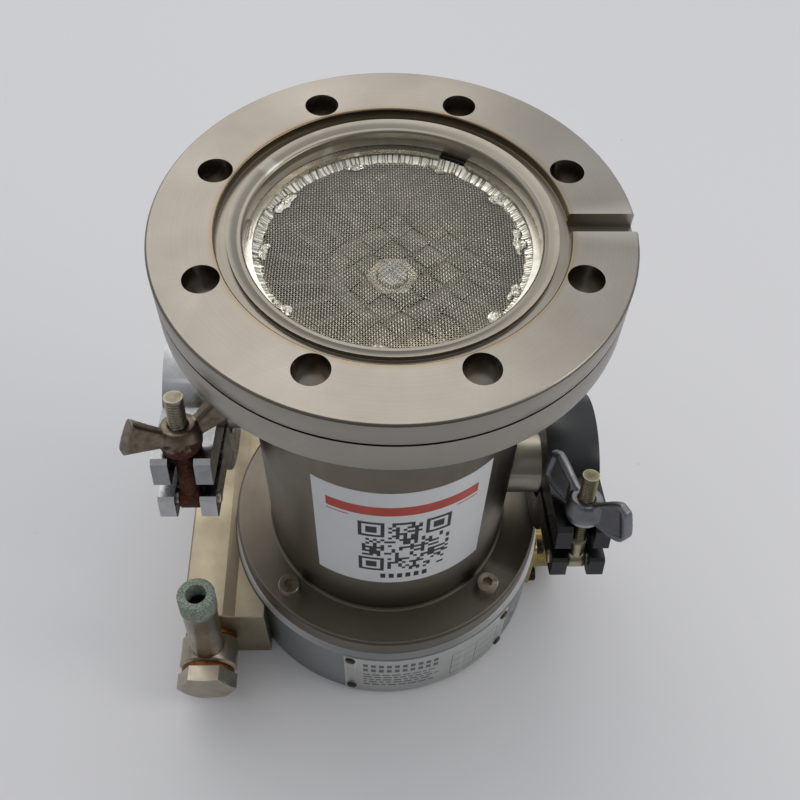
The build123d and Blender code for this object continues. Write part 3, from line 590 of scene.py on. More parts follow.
# Label inks: thermal black and a printed red.
BLACK_INK = Finish("label_ink_black", "1f2326", "2b2f33", metallic=0.0, roughness=0.5, grain_tone=0.05)
RED_INK = Finish("label_ink_red", "c5432f", "b53b2a", metallic=0.0, roughness=0.45, grain_tone=0.05)
# Etched and filled marks on the rating plate.
ETCH_FILL = Finish("enamel_fill_grey", "5c5f60", "6f7271", metallic=0.0, roughness=0.5, grain_tone=0.1)


# ---- meshes ---------------------------------------------------------------------------------------
class Sketch:
    """Points and faces of one piece, in millimetres, gathered before they become a mesh."""

    def __init__(self) -> None:
        """Start with nothing."""
        self.points: list[Vector] = []
        self.faces: list[list[int]] = []
        self.slots: list[int] = []

    def add(self, points: Sequence[Sequence[float]], faces: Sequence[Sequence[int]], slot: int = 0) -> None:
        """Append points and the faces between them.

        Args:
            points: new points.
            faces: corner numbers, counted from the first new point.
            slot: number of the finish that the faces take.
        """
        start = len(self.points)
        self.points += [Vector(p) for p in points]
        self.faces += [[start + i for i in face] for face in faces]
        self.slots += [slot] * len(faces)

    def grid(
        self,
        rows: int,
        columns: int,
        place: Callable[[int, int], Sequence[float]],
        round_rows: bool = False,
        round_columns: bool = False,
        slot: int = 0,
    ) -> None:
        """Append a sheet of four-sided faces.

        Args:
            rows: number of rows of points.
            columns: number of points in a row.
            place: gives the point at a row and a column.
            round_rows: whether the last row joins the first.
            round_columns: whether the last column joins the first.
            slot: number of the finish that the faces take.
        """
        points = [place(i, j) for i in range(rows) for j in range(columns)]
        faces = []
        for i in range(rows if round_rows else rows - 1):
            for j in range(columns if round_columns else columns - 1):
                k, m = (i + 1) % rows, (j + 1) % columns
                faces.append([i * columns + j, i * columns + m, k * columns + m, k * columns + j])
        self.add(points, faces, slot)

    def lathe(self, outline: Outline, sides: int, place: Matrix) -> None:
        """Append a closed solid of revolution.

        Args:
            outline: (radius, height) points of a closed outline that stays off the axis.
            sides: number of segments round the axis.
            place: puts the solid's own +Z where it belongs.
        """

        def corner(i: int, j: int) -> Vector:
            turn = 2 * math.pi * i / sides
            radius, height = outline[j]
            return place @ Vector((radius * math.cos(turn), radius * math.sin(turn), height))

        self.grid(sides, len(outline), corner, True, True)

    def caps(self, start: int, rows: int, columns: int) -> None:
        """Close both ends of a grid whose columns go round.

        Args:
            start: number of the grid's first point.
            rows: number of rows of points.
            columns: number of points in a row.
        """
        last = start + (rows - 1) * columns
        self.faces += [[start + j for j in range(columns)], [last + j for j in reversed(range(columns))]]
        self.slots += [0, 0]

    def tube(self, path: Sequence[Vector], radius: float, sides: int) -> None:
        """Append a round wire along a path, closed at both ends.

        Args:
            path: centre points.
            radius: radius of the wire.
            sides: number of faces round the wire.
        """
        count = len(path)
        frames = []
        for i in range(count):
            before, after = path[max(i - 1, 0)], path[min(i + 1, count - 1)]
            forward = (after - before).normalized()
            side = forward.cross(Vector((0, 0, 1)))
            side = side.normalized() if side.length > 1e-3 else Vector((1, 0, 0))
            frames.append((path[i], side, side.cross(forward)))

        def corner(i: int, j: int) -> Vector:
            centre, side, up = frames[i]
            turn = 2 * math.pi * j / sides
            return centre + radius * (math.cos(turn) * side + math.sin(turn) * up)

        start = len(self.points)
        self.grid(count, sides, corner, False, True)
        self.caps(start, count, sides)

    def piece(
        self,
        name: str,
        finishes: Sequence[Finish],
        body: str,
        slot: str,
        crease: float = 35.0,
    ) -> bpy.types.Object:
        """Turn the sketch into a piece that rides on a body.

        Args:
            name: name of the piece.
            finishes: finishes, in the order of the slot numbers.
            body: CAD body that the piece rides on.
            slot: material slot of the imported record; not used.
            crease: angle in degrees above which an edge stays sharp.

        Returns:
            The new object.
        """
        mesh = bpy.data.meshes.new(name)
        mesh.from_pydata([p * MM for p in self.points], [], self.faces)
        mesh.polygons.foreach_set("material_index", self.slots)
        for finish in finishes:
            mesh.materials.append(finish.material())
        tidy = bmesh.new()
        tidy.from_mesh(mesh)
        bmesh.ops.recalc_face_normals(tidy, faces=tidy.faces)
        tidy.to_mesh(mesh)
        tidy.free()
        mesh.shade_smooth()
        mesh.set_sharp_from_angle(angle=math.radians(crease))
        piece = bpy.data.objects.new(name, mesh)
        bpy.context.scene.collection.objects.link(piece)
        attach(piece, body)
        log.info("%s: %d faces on %s", name, len(mesh.polygons), body)
        return piece


def melt(piece: bpy.types.Object, voxel: float, rounds: int, keep_share: float) -> None:
    """Fuse a piece's overlapping solids into one skin with the soft corners of a casting.

    Args:
        piece: object whose mesh is closed solids.
        voxel: size of the voxels that the skin is made from.
        rounds: number of smoothing passes.
        keep_share: share of the faces that are kept.
    """
    remesh = piece.modifiers.new("skin", "REMESH")
    remesh.mode, remesh.voxel_size, remesh.use_smooth_shade = "VOXEL", voxel * MM, True
    soften = piece.modifiers.new("soften", "SMOOTH")
    soften.factor, soften.iterations = 0.5, rounds
    lighten = piece.modifiers.new("lighten", "DECIMATE")
    lighten.ratio = keep_share
    evaluated = piece.evaluated_get(bpy.context.evaluated_depsgraph_get())
    finished = bpy.data.meshes.new_from_object(evaluated)
    materials = list(piece.data.materials)
    piece.modifiers.clear()
    piece.data = finished
    finished.materials.clear()
    for material in materials:
        finished.materials.append(material)
    finished.polygons.foreach_set("material_index", [0] * len(finished.polygons))
    finished.shade_smooth()


class CadNode:
    """A CAD node that is shown as it is, with its finish and softened edges."""

    @staticmethod
    def dress(node: str, finish: Finish, edge: float = 0.0) -> None:
        """Give a CAD node its material and, where it is seen, small rounded edges.

        Args:
            node: name of the node.
            finish: its finish.
            edge: width of the rounded edges, or 0 for none.
        """
        piece = frame["nodes"][node]
        piece.data.materials.clear()
        piece.data.materials.append(finish.material())
        if edge:
            weld = piece.modifiers.new("weld", "WELD")
            weld.merge_threshold = WELD_GAP * MM
            bevel = piece.modifiers.new("edges", "BEVEL")
            bevel.width, bevel.segments = edge * MM, 2
            bevel.angle_limit = math.radians(BEVEL_FROM_ANGLE)
        log.info("%s wears %s", node, finish.name)


# ---- inlet ----------------------------------------------------------------------------------------
@dataclass
class InletScreen:
    """Woven splinter screen with its folded rim, spot welds and the bent end of its spring ring.

    Args:
        pitch: distance between two wires.
        wire: radius of a wire.
        rim: radius at which the mesh folds up.
        sag: depth of the dish in its middle.
        fold_pitch: distance between two creases.
        fold_depth: depth of a crease.
        fold_width: half the width of a crease.
        fold_turns: directions across the two sets of creases, in degrees.
        fringe_count: number of wire ends in the folded rim.
        weld_turns: angles in degrees at which the fold is spot-welded.
        weld_size: mean length of a weld round the rim.
    """

    pitch: float = 0.64
    wire: float = 0.125
    rim: float = 31.6
    sag: float = 1.1
    fold_pitch: float = 6.2
    fold_depth: float = 0.5
    fold_width: float = 0.38
    fold_turns: tuple[float, float] = (38.0, 128.0)
    fringe_count: int = 190
    weld_turns: tuple[float, ...] = (109.0, 67.0, 33.0, 6.0, -26.0, -45.0, -96.0, -146.0, 180.0, 148.0)
    weld_size: float = 2.1

    def __post_init__(self) -> None:
        """Take the rest height from the CAD screen."""
        self.low = box_mm("splinter_screen")[0].z + 0.6

    def height(self, x: float, y: float) -> float:
        """Height of the mesh at a place: dished, wrinkled and creased where it was folded once.

        Args:
            x: distance to the right of the axis.
            y: distance behind the axis.

        Returns:
            Height above the floor.
        """
        radius = math.hypot(x, y)
        dish = -self.sag * max(0.0, 1 - (radius / self.rim) ** 2)
        wrinkle = 0.35 * noise.noise(Vector((x, y, 0.0)) * 0.09)
        creases = 0.0
        for turn in self.fold_turns:
            across = x * math.cos(math.radians(turn)) + y * math.sin(math.radians(turn))
            phase = (across / self.fold_pitch) % 1.0
            beside = (phase - 0.5) * self.fold_pitch
            creases -= self.fold_depth * math.exp(-((beside / self.fold_width) ** 2))
        fade = max(0.0, 1 - ((x - 4) ** 2 + (y + 8) ** 2) / 24**2)
        return self.low + dish + wrinkle + creases * fade

    def mesh(self) -> bpy.types.Object:
        """Weave two sets of wires over and under each other."""
        sketch = Sketch()
        count = int(self.rim / self.pitch)
        for line in range(-count, count + 1):
            half = math.sqrt(self.rim**2 - (line * self.pitch) ** 2)
            reach = int(half / self.pitch)
            if reach < 1:
                continue
            for lengthwise in (True, False):
                path = []
                for step in range(-reach, reach + 1):
                    u, v = step * self.pitch, line * self.pitch
                    over = 1 if (step + line) % 2 == (0 if lengthwise else 1) else -1
                    x, y = (u, v) if lengthwise else (v, u)
                    sway = 0.5 * noise.noise(Vector((x, y, 7.0)) * 0.07)
                    path.append(Vector((x + sway, y + sway, self.height(x, y) + over * self.wire * 0.9)))
                sketch.tube(path, self.wire, 4)
        return sketch.piece("screen_mesh", [DRAWN_WIRE], "housing", "screen_wire", 60)

    def fringe(self) -> bpy.types.Object:
        """Short wire ends that stand up where the mesh folds into its rim."""
        draw = random.Random(11)
        sketch = Sketch()
        inner, outer = self.rim - 0.7, 34.3
        for i in range(self.fringe_count):
            turn = 2 * math.pi * (i + draw.uniform(-0.3, 0.3)) / self.fringe_count
            tip = turn + draw.uniform(-0.02, 0.02)
            top = self.low + 1.5 + draw.uniform(-0.4, 0.3)
            foot = self.height(inner * math.cos(turn), inner * math.sin(turn))
            path = [
                Vector((r * math.cos(a), r * math.sin(a), z))
                for r, a, z in (
                    (inner, turn, foot),
                    (inner + 1.3, (turn + tip) / 2, self.low + 0.5 + draw.uniform(-0.2, 0.2)),
                    (outer - draw.uniform(0, 0.4), tip, top),
                )
            ]
            sketch.tube(path, self.wire, 4)

        sides, rises = 240, 6

        def collar(i: int, j: int) -> Point:
            turn, rise = 2 * math.pi * i / sides, j / rises
            ripple = 0.25 * noise.noise(Vector((math.cos(turn) * 9, math.sin(turn) * 9, rise * 2)))
            radius = self.rim - 0.2 + rise * 2.7 + ripple
            return radius * math.cos(turn), radius * math.sin(turn), self.low - 0.1 + 1.4 * rise**1.5 + ripple

        sketch.grid(sides, rises + 1, collar, True, False)
        return sketch.piece("screen_folded_rim", [DRAWN_WIRE], "housing", "screen_wire", 60)

    def welds(self) -> bpy.types.Object:
        """Bright crumpled patches where the fold was spot-welded."""
        draw = random.Random(4)
        sketch = Sketch()
        rings, spokes, dabs = 6, 18, 5
        for turn in self.weld_turns:
            middle = math.radians(turn)
            size = self.weld_size * draw.uniform(0.75, 1.3)
            for _ in range(dabs):
                angle = middle + draw.uniform(-1, 1) * size / self.rim
                radius = self.rim - 0.6 + draw.uniform(-0.9, 0.7)
                centre = Vector((radius * math.cos(angle), radius * math.sin(angle), self.low + 0.25))
                wide, deep = size * draw.uniform(0.45, 0.9), size * draw.uniform(0.3, 0.55)
                seed = Vector((draw.random() * 50, draw.random() * 50, 0))
                across = Vector((-math.sin(angle), math.cos(angle), 0))
                inwards = Vector((-math.cos(angle), -math.sin(angle), 0))

                def dab(i: int, j: int) -> Vector:
                    ring, turned = i / rings, 2 * math.pi * j / spokes
                    u, v = ring * math.cos(turned), ring * math.sin(turned)
                    lump = noise.noise(Vector((u * 3, v * 3, 0)) + seed)
                    edge = 1 + 0.3 * noise.noise(Vector((math.cos(turned), math.sin(turned), 0)) * 1.7 + seed)
                    up = 0.45 * (1 - ring**2) + 0.35 * lump * (1 - ring * 0.5)
                    return centre + across * u * wide * edge + inwards * v * deep * edge + Vector((0, 0, up))

                sketch.grid(rings + 1, spokes, dab, False, True)
        return sketch.piece("screen_spot_welds", [MELTED_WIRE], "housing", "screen_wire", 25)

    def ring_end(self) -> bpy.types.Object:
        """Bent end of the spring wire, hooked over the mesh at the left."""
        top = box_mm("screen_retaining_ring")[1].z
        knots = [
            (34.4, 168.0, 0.0), (34.1, 172.0, 0.3), (33.9, 176.0, 0.2),
            (34.3, 180.5, -0.6), (33.2, 183.0, -1.2), (31.7, 184.0, -1.6),
        ]
        path = []
        for radius, degrees, rise in knots:
            turn = math.radians(degrees)
            path.append(Vector((radius * math.cos(turn), radius * math.sin(turn), top + rise)))
        sketch = Sketch()
        wire = 0.42
        sketch.tube(smooth_path(path, steps=6), wire, sides=10)
        return sketch.piece("screen_ring_end", [MELTED_WIRE], "housing", "turned_stainless")

    def build(self) -> None:
        """Make the screen's pieces and dress the CAD nodes beside them."""
        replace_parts(self.mesh(), "splinter_screen")
        self.fringe()
        self.welds()
        self.ring_end()
        CadNode.dress("inlet_flange", FACED_STAINLESS, 0.18)
        CadNode.dress("screen_retaining_ring", DRAWN_WIRE)


def smooth_path(knots: Sequence[Vector], steps: int) -> list[Vector]:
    """Round a path off with a Catmull-Rom curve.

    Args:
        knots: points that the path goes through.
        steps: number of points between two knots.

    Returns:
        The points of the rounded path.
    """
    padded = [knots[0] * 2 - knots[1], *knots, knots[-1] * 2 - knots[-2]]
    path = []
    for a, b, c, d in zip(padded, padded[1:], padded[2:], padded[3:]):
        for i in range(steps):
            t = i / steps
            square, cube = 2 * a - 5 * b + 4 * c - d, 3 * b - a - 3 * c + d
            path.append(0.5 * (2 * b + (c - a) * t + square * t**2 + cube * t**3))
    path.append(knots[-1])
    return path


# ---- casing, base and their labels ------------------------------------------------------------------
# How far a label's edge and its ink stand off what they lie on, and the longest flat step of a bar.
LABEL_GAP = 0.01
INK_THICK = 0.02
BAR_STEP = 1.2


class Ink(Enum):
    """Numbers of a label's finishes."""

    PAPER = 0
    BLACK = 1
    RED = 2


@dataclass
class CurvedLabel:
    """Sheet that lies round an upright cylinder, with printed shapes just above it.

    Args:
        radius: radius of the cylinder.
        start: angle of the sheet's left edge, in degrees from +X.
        end: angle of its right edge.
        low: height of its lower edge.
        high: height of its upper edge.
        thick: thickness of the sheet.
    """

    radius: float
    start: float
    end: float
    low: float
    high: float
    thick: float = 0.12
    sketch: Sketch = field(default_factory=Sketch)

    @property
    def width(self) -> float:
        """Length of the sheet round the cylinder."""
        return math.radians(self.end - self.start) * self.radius

    @property
    def tall(self) -> float:
        """Height of the sheet."""
        return self.high - self.low

    def at(self, across: float, up: float, proud: float) -> Point:
        """Point over the sheet.

        Args:
            across: distance from the left edge, round the cylinder.
            up: distance from the lower edge.
            proud: distance out from the cylinder.

        Returns:
            The point.
        """
        turn = math.radians(self.start) + across / self.radius
        reach = self.radius + proud
        return reach * math.cos(turn), reach * math.sin(turn), self.low + up

    def sheet(self) -> None:
        """Lay the sheet itself, closed all round."""
        columns = 48

        def corner(i: int, j: int) -> Point:
            across = self.width * i / columns
            up = (0, 0, self.tall, self.tall)[j]
            proud = (LABEL_GAP, self.thick, self.thick, LABEL_GAP)[j]
            return self.at(across, up, proud)

        self.sketch.grid(columns + 1, 4, corner, False, True, Ink.PAPER.value)
        last = columns * 4
        self.sketch.faces += [[0, 1, 2, 3], [last + 3, last + 2, last + 1, last]]
        self.sketch.slots += [Ink.PAPER.value] * 2

    def bar(self, across: float, up: float, wide: float, tall: float, ink: Ink) -> None:
        """Print one rectangle.

        Args:
            across: distance of its left edge from the sheet's.
            up: distance of its lower edge from the sheet's.
            wide: its width.
            tall: its height.
            ink: which finish it takes.
        """
        columns = max(1, round(wide / BAR_STEP))
        proud = self.thick + INK_THICK
        points = []
        for i in range(columns + 1):
            place = across + wide * i / columns
            points += [self.at(place, up, proud), self.at(place, up + tall, proud)]
        faces = [[2 * i, 2 * i + 2, 2 * i + 3, 2 * i + 1] for i in range(columns)]
        self.sketch.add(points, faces, ink.value)


@dataclass
class AssetSticker(CurvedLabel):
    """White sticker on the casing: a red strip, a square of random blocks and a row of plain ticks.

    Args:
        modules: number of blocks along each side of the square.
        code_left: distance of the square from the sticker's left edge.
        code_low: distance of the square from the sticker's lower edge.
        code_wide: width of the square.
        code_tall: height of the square.
    """

    radius: float = 39.0
    start: float = -123.0
    end: float = -46.5
    low: float = 60.0
    high: float = 113.5
    modules: int = 25
    code_left: float = 13.2
    code_low: float = 8.2
    code_wide: float = 26.4
    code_tall: float = 29.5

    def code(self) -> None:
        """Print the square of blocks: random, so that it says nothing."""
        draw = random.Random(2026)
        wide, tall = self.code_wide / self.modules, self.code_tall / self.modules
        corners = ((0, 0), (0, self.modules - 7), (self.modules - 7, self.modules - 7))
        for row in range(self.modules):
            run = None
            for column in range(self.modules + 1):
                dark = column < self.modules and self.dark(row, column, corners, draw)
                if dark and run is None:
                    run = column
                elif not dark and run is not None:
                    left, low = self.code_left + run * wide, self.code_low + row * tall
                    self.bar(left, low, (column - run) * wide, tall * 1.01, Ink.BLACK)
                    run = None

    def dark(self, row: int, column: int, corners: Sequence[tuple[int, int]], draw: random.Random) -> bool:
        """Say whether one block is dark.

        Args:
            row: row from below.
            column: column from the left.
            corners: lower left corners of the three framed squares, as (column, row).
            draw: source of the random blocks.

        Returns:
            True for a dark block.
        """
        chance = draw.random() < 0.48
        for left, low in corners:
            across, up = column - left, row - low
            if -1 <= across <= 7 and -1 <= up <= 7:
                ring = max(abs(across - 3), abs(up - 3))
                return ring in (0, 1, 3)
        return chance

    def build(self) -> None:
        """Make the sticker."""
        self.sheet()
        self.bar(4.2, 41.6, 43.4, 4.6, Ink.RED)
        self.bar(4.2, 39.9, 6.5, 0.5, Ink.RED)
        self.bar(41.1, 39.9, 6.5, 0.5, Ink.RED)
        for i in range(6):
            self.bar(19.6 + i * 2.5, 3.2, 1.5, 2.9, Ink.BLACK)
        self.code()
        inks = [LABEL_PAPER, BLACK_INK, RED_INK]
        self.sketch.piece("casing_sticker", inks, "housing", "casing_stainless", 30)


@dataclass
class PlateMarks(CurvedLabel):
    """Rows of plain dashes and ruled boxes on the rating plate, in place of its words.

    The only finish of this piece is the filled etching, so the marks take the label's first number.

    Args:
        dash_rows: height over the plate's lower edge, height of the dashes and length of each row.
        even_rows: number of upper rows whose dashes are all the same length.
    """

    radius: float = 52.9
    start: float = -104.0
    end: float = -43.0
    low: float = 3.5
    high: float = 28.5
    thick: float = 0.0
    dash_rows: tuple[Point, ...] = (
        (20.5, 2.4, 27), (16.6, 2.4, 27), (13.4, 0.9, 26), (11.2, 0.9, 24), (9.0, 0.9, 27), (6.8, 0.9, 22),
        (4.2, 1.0, 26),
    )
    even_rows: int = 2

    def build(self) -> None:
        """Make the marks."""
        draw = random.Random(5)
        for row, (up, tall, reach) in enumerate(self.dash_rows):
            across = 4.5
            while across < reach + 2:
                wide = draw.uniform(1.2, 3.0) if row >= self.even_rows else 1.6
                self.bar(across, up, wide, tall, Ink.PAPER)
                across += wide + (0.7 if row >= self.even_rows else 1.0)
        for up in (2.2, 8.0, 13.8, 19.6):
            self.bar(34.5, up, 19.0, 0.25, Ink.PAPER)
        for across in (34.5, 44.0, 53.25):
            self.bar(across, 2.2, 0.25, 17.6, Ink.PAPER)
        self.sketch.piece("rating_plate_marks", [ETCH_FILL], "housing", "plate_aluminium", 30)


# ---- clamps ----------------------------------------------------------------------------------------
class WingShape(Enum):
    """The two patterns of wing nut."""

    BROAD = "rounded wings with a sunk panel"
    STUB = "short flared wings with flat ends"


@dataclass
class HingedClamp:
    """One port's clamp: two jaws, their pins, and a swing bolt with its washer and wing nut.

    Args:
        side: "right" or "left", as in the CAD node names.
        jaw: finish of the jaws.
        nut: finish of the wing nut.
        bolt: finish of the swing bolt.
        wings: pattern of the wing nut.
        turn: angle in degrees at which the wings stand.
        rod: radius of the bolt's rod.
        thread_depth: depth of its thread.
        thread_pitch: travel of the nut in one turn.
        thread_from: height above the pivot at which the thread begins.
        eye_below: radius of its eye.
        seat: height of the nut's underside above the pivot.
    """

    side: str
    jaw: Finish
    nut: Finish
    bolt: Finish
    wings: WingShape
    turn: float
    rod: float = 2.4
    thread_depth: float = 0.32
    thread_pitch: float = 0.8
    thread_from: float = 7.5
    eye_below: float = 3.15
    seat: float = 19.05

    def __post_init__(self) -> None:
        """Take the bolt's frame from its joint: the origin on the pivot, Z up the rod, X along the port."""
        joints = {j["name"]: j for j in frame["joints"]}
        pivot = Vector(joints[f"{self.side}_bolt_swing"]["pos_m"]) / MM
        up = Vector(joints[f"{self.side}_nut_turn"]["axis"]).normalized()
        out = Vector((1, 0, 0))
        forward = up.cross(out)
        self.place = Matrix.Translation(pivot) @ Matrix((out, forward, up)).transposed().to_4x4()
        self.length = (box_mm(f"{self.side}_swing_bolt")[1].z - pivot.z) / up.z - 0.5

    def swing_bolt(self) -> None:
        """Threaded rod rising from a flat-sided eye."""
        sketch = Sketch()
        rows_per_turn, sides, point = 6, 28, 0.02
        start = self.thread_from
        rows = int((self.length - start) / self.thread_pitch * rows_per_turn)

        def thread(i: int, j: int) -> Vector:
            turn = 2 * math.pi * j / sides
            height = start + i * self.thread_pitch / rows_per_turn
            phase = (height / self.thread_pitch - j / sides) % 1.0
            depth = self.thread_depth * (1 - abs(2 * phase - 1)) ** 0.8
            fade = min(1.0, i / rows_per_turn / 2, (rows - i) / rows_per_turn / 1.5)
            radius = self.rod - 0.02 - depth * fade
            return self.place @ Vector((radius * math.cos(turn), radius * math.sin(turn), height))

        sketch.grid(rows + 1, sides, thread, False, True)
        turns = [2 * math.pi * j / sides for j in range(sides)]
        tip = [
            self.place @ Vector((r * math.cos(turn), r * math.sin(turn), h))
            for r, h in ((self.rod - 0.5, self.length - point), (point, self.length))
            for turn in turns
        ]
        first = rows * sides
        at = len(sketch.points)
        sketch.add(tip, [])
        for k, low in ((0, first), (1, at)):
            high = at + k * sides
            for j in range(sides):
                m = (j + 1) % sides
                sketch.faces.append([low + j, low + m, high + m, high + j])
                sketch.slots.append(0)
        wide, top = self.rod - 0.05, start + 0.1
        bottom = 1.5
        shank = [(point, bottom), (wide, bottom), (wide, top), (point, top)]
        sketch.lathe(shank, sides, self.place)
        self.eye(sketch)
        slot = self.slot_of("swing_bolt")
        piece = sketch.piece(f"{self.side}_bolt_threaded", [self.bolt], f"{self.side}_bolt", slot, 50)
        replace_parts(piece, f"{self.side}_swing_bolt")

    def eye(self, sketch: Sketch) -> None:
        """Add the flat-sided eye round the pivot pin.

        Args:
            sketch: sketch of the bolt.
        """
        bore, outer, half = 2.05, self.eye_below, 2.75
        outline = [
            (bore, -half), (outer - 0.5, -half), (outer, -half + 0.5),
            (outer, half - 0.5), (outer - 0.5, half), (bore, half),
        ]
        sketch.lathe(outline, 36, self.place @ Matrix.Rotation(math.radians(90), 4, "Y"))

    def slot_of(self, part: str) -> str:
        """Material slot that the record gives to one of this clamp's nodes."""
        node = f"{self.side}_{part}"
        return next(s["material_slot"] for s in frame["record"]["subparts"] if s["node"] == node)

    def wing_nut(self) -> None:
        """Wing nut cast in one piece: boss and two wings, their corners soft."""
        place = self.place @ Matrix.Translation((0, 0, self.seat))
        sketch = Sketch()
        bore = self.rod + 0.1
        boss = [(bore, 0.0), (5.2, 0.0), (5.5, 0.5), (5.5, 1.8), (4.8, 5.6), (4.3, 6.5), (bore, 6.5)]
        sketch.lathe(boss, 48, place)
        for half_turn in (0.0, 180.0):
            wing = place @ Matrix.Rotation(math.radians(90 + self.turn + half_turn), 4, "Z")
            self.wing(sketch, wing)
        slot = self.slot_of("wing_nut")
        piece = sketch.piece(f"{self.side}_nut_casting", [self.nut], f"{self.side}_nut", slot)
        melt(piece, voxel=0.28, rounds=5, keep_share=0.35)
        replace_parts(piece, f"{self.side}_wing_nut")

    def wing(self, sketch: Sketch, place: Matrix) -> None:
        """Add one wing that grows out of the boss along its own +X.

        Args:
            sketch: sketch of the nut.
            place: frame of the wing.
        """
        rows, columns = 18, 40
        panel_from, panel_thick = 0.72, 0.55

        def broad(share: float) -> tuple[float, float, float, float]:
            reach = 3.4 + 12.4 * share
            middle = 3.5 + 5.6 * share**1.2
            tall = 3.3 + 3.3 * math.sin(math.pi * min(1.0, share * 0.66)) - 2.2 * max(0.0, share - 0.8) / 0.2
            thick = 1.55
            return reach, middle, tall, thick

        def stub(share: float) -> tuple[float, float, float, float]:
            reach = 3.4 + 9.6 * share
            middle = 3.3 + 4.8 * share
            tall = 2.5 + 1.8 * share
            thick = 1.5 + 0.9 * share
            return reach, middle, tall, thick

        shape = broad if self.wings is WingShape.BROAD else stub

        def skin(i: int, j: int) -> Vector:
            share = i / (rows - 1)
            reach, middle, tall, thick = shape(share)
            turn = 2 * math.pi * j / columns
            c, s = math.cos(turn), math.sin(turn)
            across = math.copysign(abs(c) ** 0.45, c) * thick
            up = math.copysign(abs(s) ** 0.6, s) * tall
            if self.wings is WingShape.BROAD:
                border = max(abs(up) / tall, abs(2 * share - 1.1) / 0.9)
                across *= 1.0 if border > panel_from else panel_thick
            lean = 0.45 if self.wings is WingShape.STUB else 0.25
            return place @ Vector((reach - up * lean * share, across, middle + up))

        start = len(sketch.points)
        sketch.grid(rows, columns, skin, False, True)
        sketch.caps(start, rows, columns)

    def build(self) -> None:
        """Make and dress the whole clamp."""
        self.swing_bolt()
        self.wing_nut()
        for part in ("upper_jaw", "lower_jaw"):
            CadNode.dress(f"{self.side}_clamp_{part}", self.jaw, 0.45)
        CadNode.dress(f"{self.side}_clamp_pins", SCREW_STEEL)
        CadNode.dress(f"{self.side}_clamp_washer", self.nut)


# ---- sub-assemblies shown as the CAD has them --------------------------------------------------------
@dataclass
class DressedNodes:
    """CAD nodes that only need their finish.

    Args:
        finishes: node name to its finish and the width of its softened edges.
    """

    finishes: dict[str, tuple[Finish, float]]

    def build(self) -> None:
        """Dress every node."""
        for node, (finish, edge) in self.finishes.items():
            CadNode.dress(node, finish, edge)


def casing_and_base() -> DressedNodes:
    """Casing, side ports, base, cover, plate and their fasteners."""
    finishes = {
        # casing colour: blasted steel, darkened partly as painted shade
        "casing": (SHADED_BLASTED_STAINLESS, 0.25),
        "foot_flange_screws": (SCREW_STEEL, 0.15),
        "casing_o_ring": (SEAL_RUBBER, 0.0),
        "pump_base": (ANODISED_BASE, 0.15),
        "base_cover": (ANODISED_BASE, 0.15),
        "base_cover_screws": (SCREW_STEEL, 0.0),
        "rating_plate": (PLATE_SHEET, 0.1),
        "plate_rivets": (BLACKED_STEEL, 0.0),
    }
    for side in ("right", "left"):
        finishes[f"{side}_port"] = (TURNED_TUBE, 0.2)
        finishes[f"{side}_port_blank"] = (TURNED_TUBE, 0.2)
        finishes[f"{side}_centring_ring"] = (GROUND_STEEL, 0.0)
        finishes[f"{side}_port_seal"] = (SEAL_RUBBER, 0.0)
    return DressedNodes(finishes)


def water_and_power() -> DressedNodes:
    """Cooling block with its banjo fittings, and the electrical receptacle."""
    return DressedNodes(
        {
            "cooling_block": (NICKEL_BLOCK, 0.4),
            "cooling_block_screws": (SCREW_STEEL, 0.0),
            "banjo_bolts": (NICKEL_FITTING, 0.3),
            "banjo_washers": (COPPER_WASHER, 0.25),
            "front_hose_nozzle": (NICKEL_NOZZLE, 0.3),
            "rear_hose_nozzle": (NICKEL_NOZZLE, 0.3),
            "connector_shell": (YELLOW_CHROMATE, 0.2),
            "connector_insert": (MOULDED_INSULATOR, 0.0),
            "connector_pins": (GOLD_FLASH, 0.0),
            "connector_screws": (BLACKED_STEEL, 0.1),
        }
    )


def rotor_and_motor() -> DressedNodes:
    """Everything that turns or stands inside the casing."""
    finishes = {
        "turbine_rotor": (MILLED_ALUMINIUM, 0.0),
        "stator_spacers": (MILLED_ALUMINIUM, 0.0),
        "support_sleeve": (MILLED_ALUMINIUM, 0.0),
        "bearing_carrier": (MILLED_ALUMINIUM, 0.0),
        "motor_core": (LAMINATED_STEEL, 0.0),
        "motor_windings": (WINDING_WIRE, 0.0),
        "motor_rotor": (LAMINATED_STEEL, 0.0),
        "rotor_shaft": (GROUND_STEEL, 0.0),
        "rotor_nut": (SCREW_STEEL, 0.0),
        "bearing_balls": (GROUND_STEEL, 0.0),
        "bearing_dampers": (SEAL_RUBBER, 0.0),
    }
    for place in ("lower", "upper"):
        finishes[f"{place}_bearing_outer_race"] = (GROUND_STEEL, 0.0)
        finishes[f"{place}_bearing_inner_race"] = (GROUND_STEEL, 0.0)
    for number in range(1, 5):
        finishes[f"stator_disc_{number}"] = (MILLED_ALUMINIUM, 0.0)
    return DressedNodes(finishes)


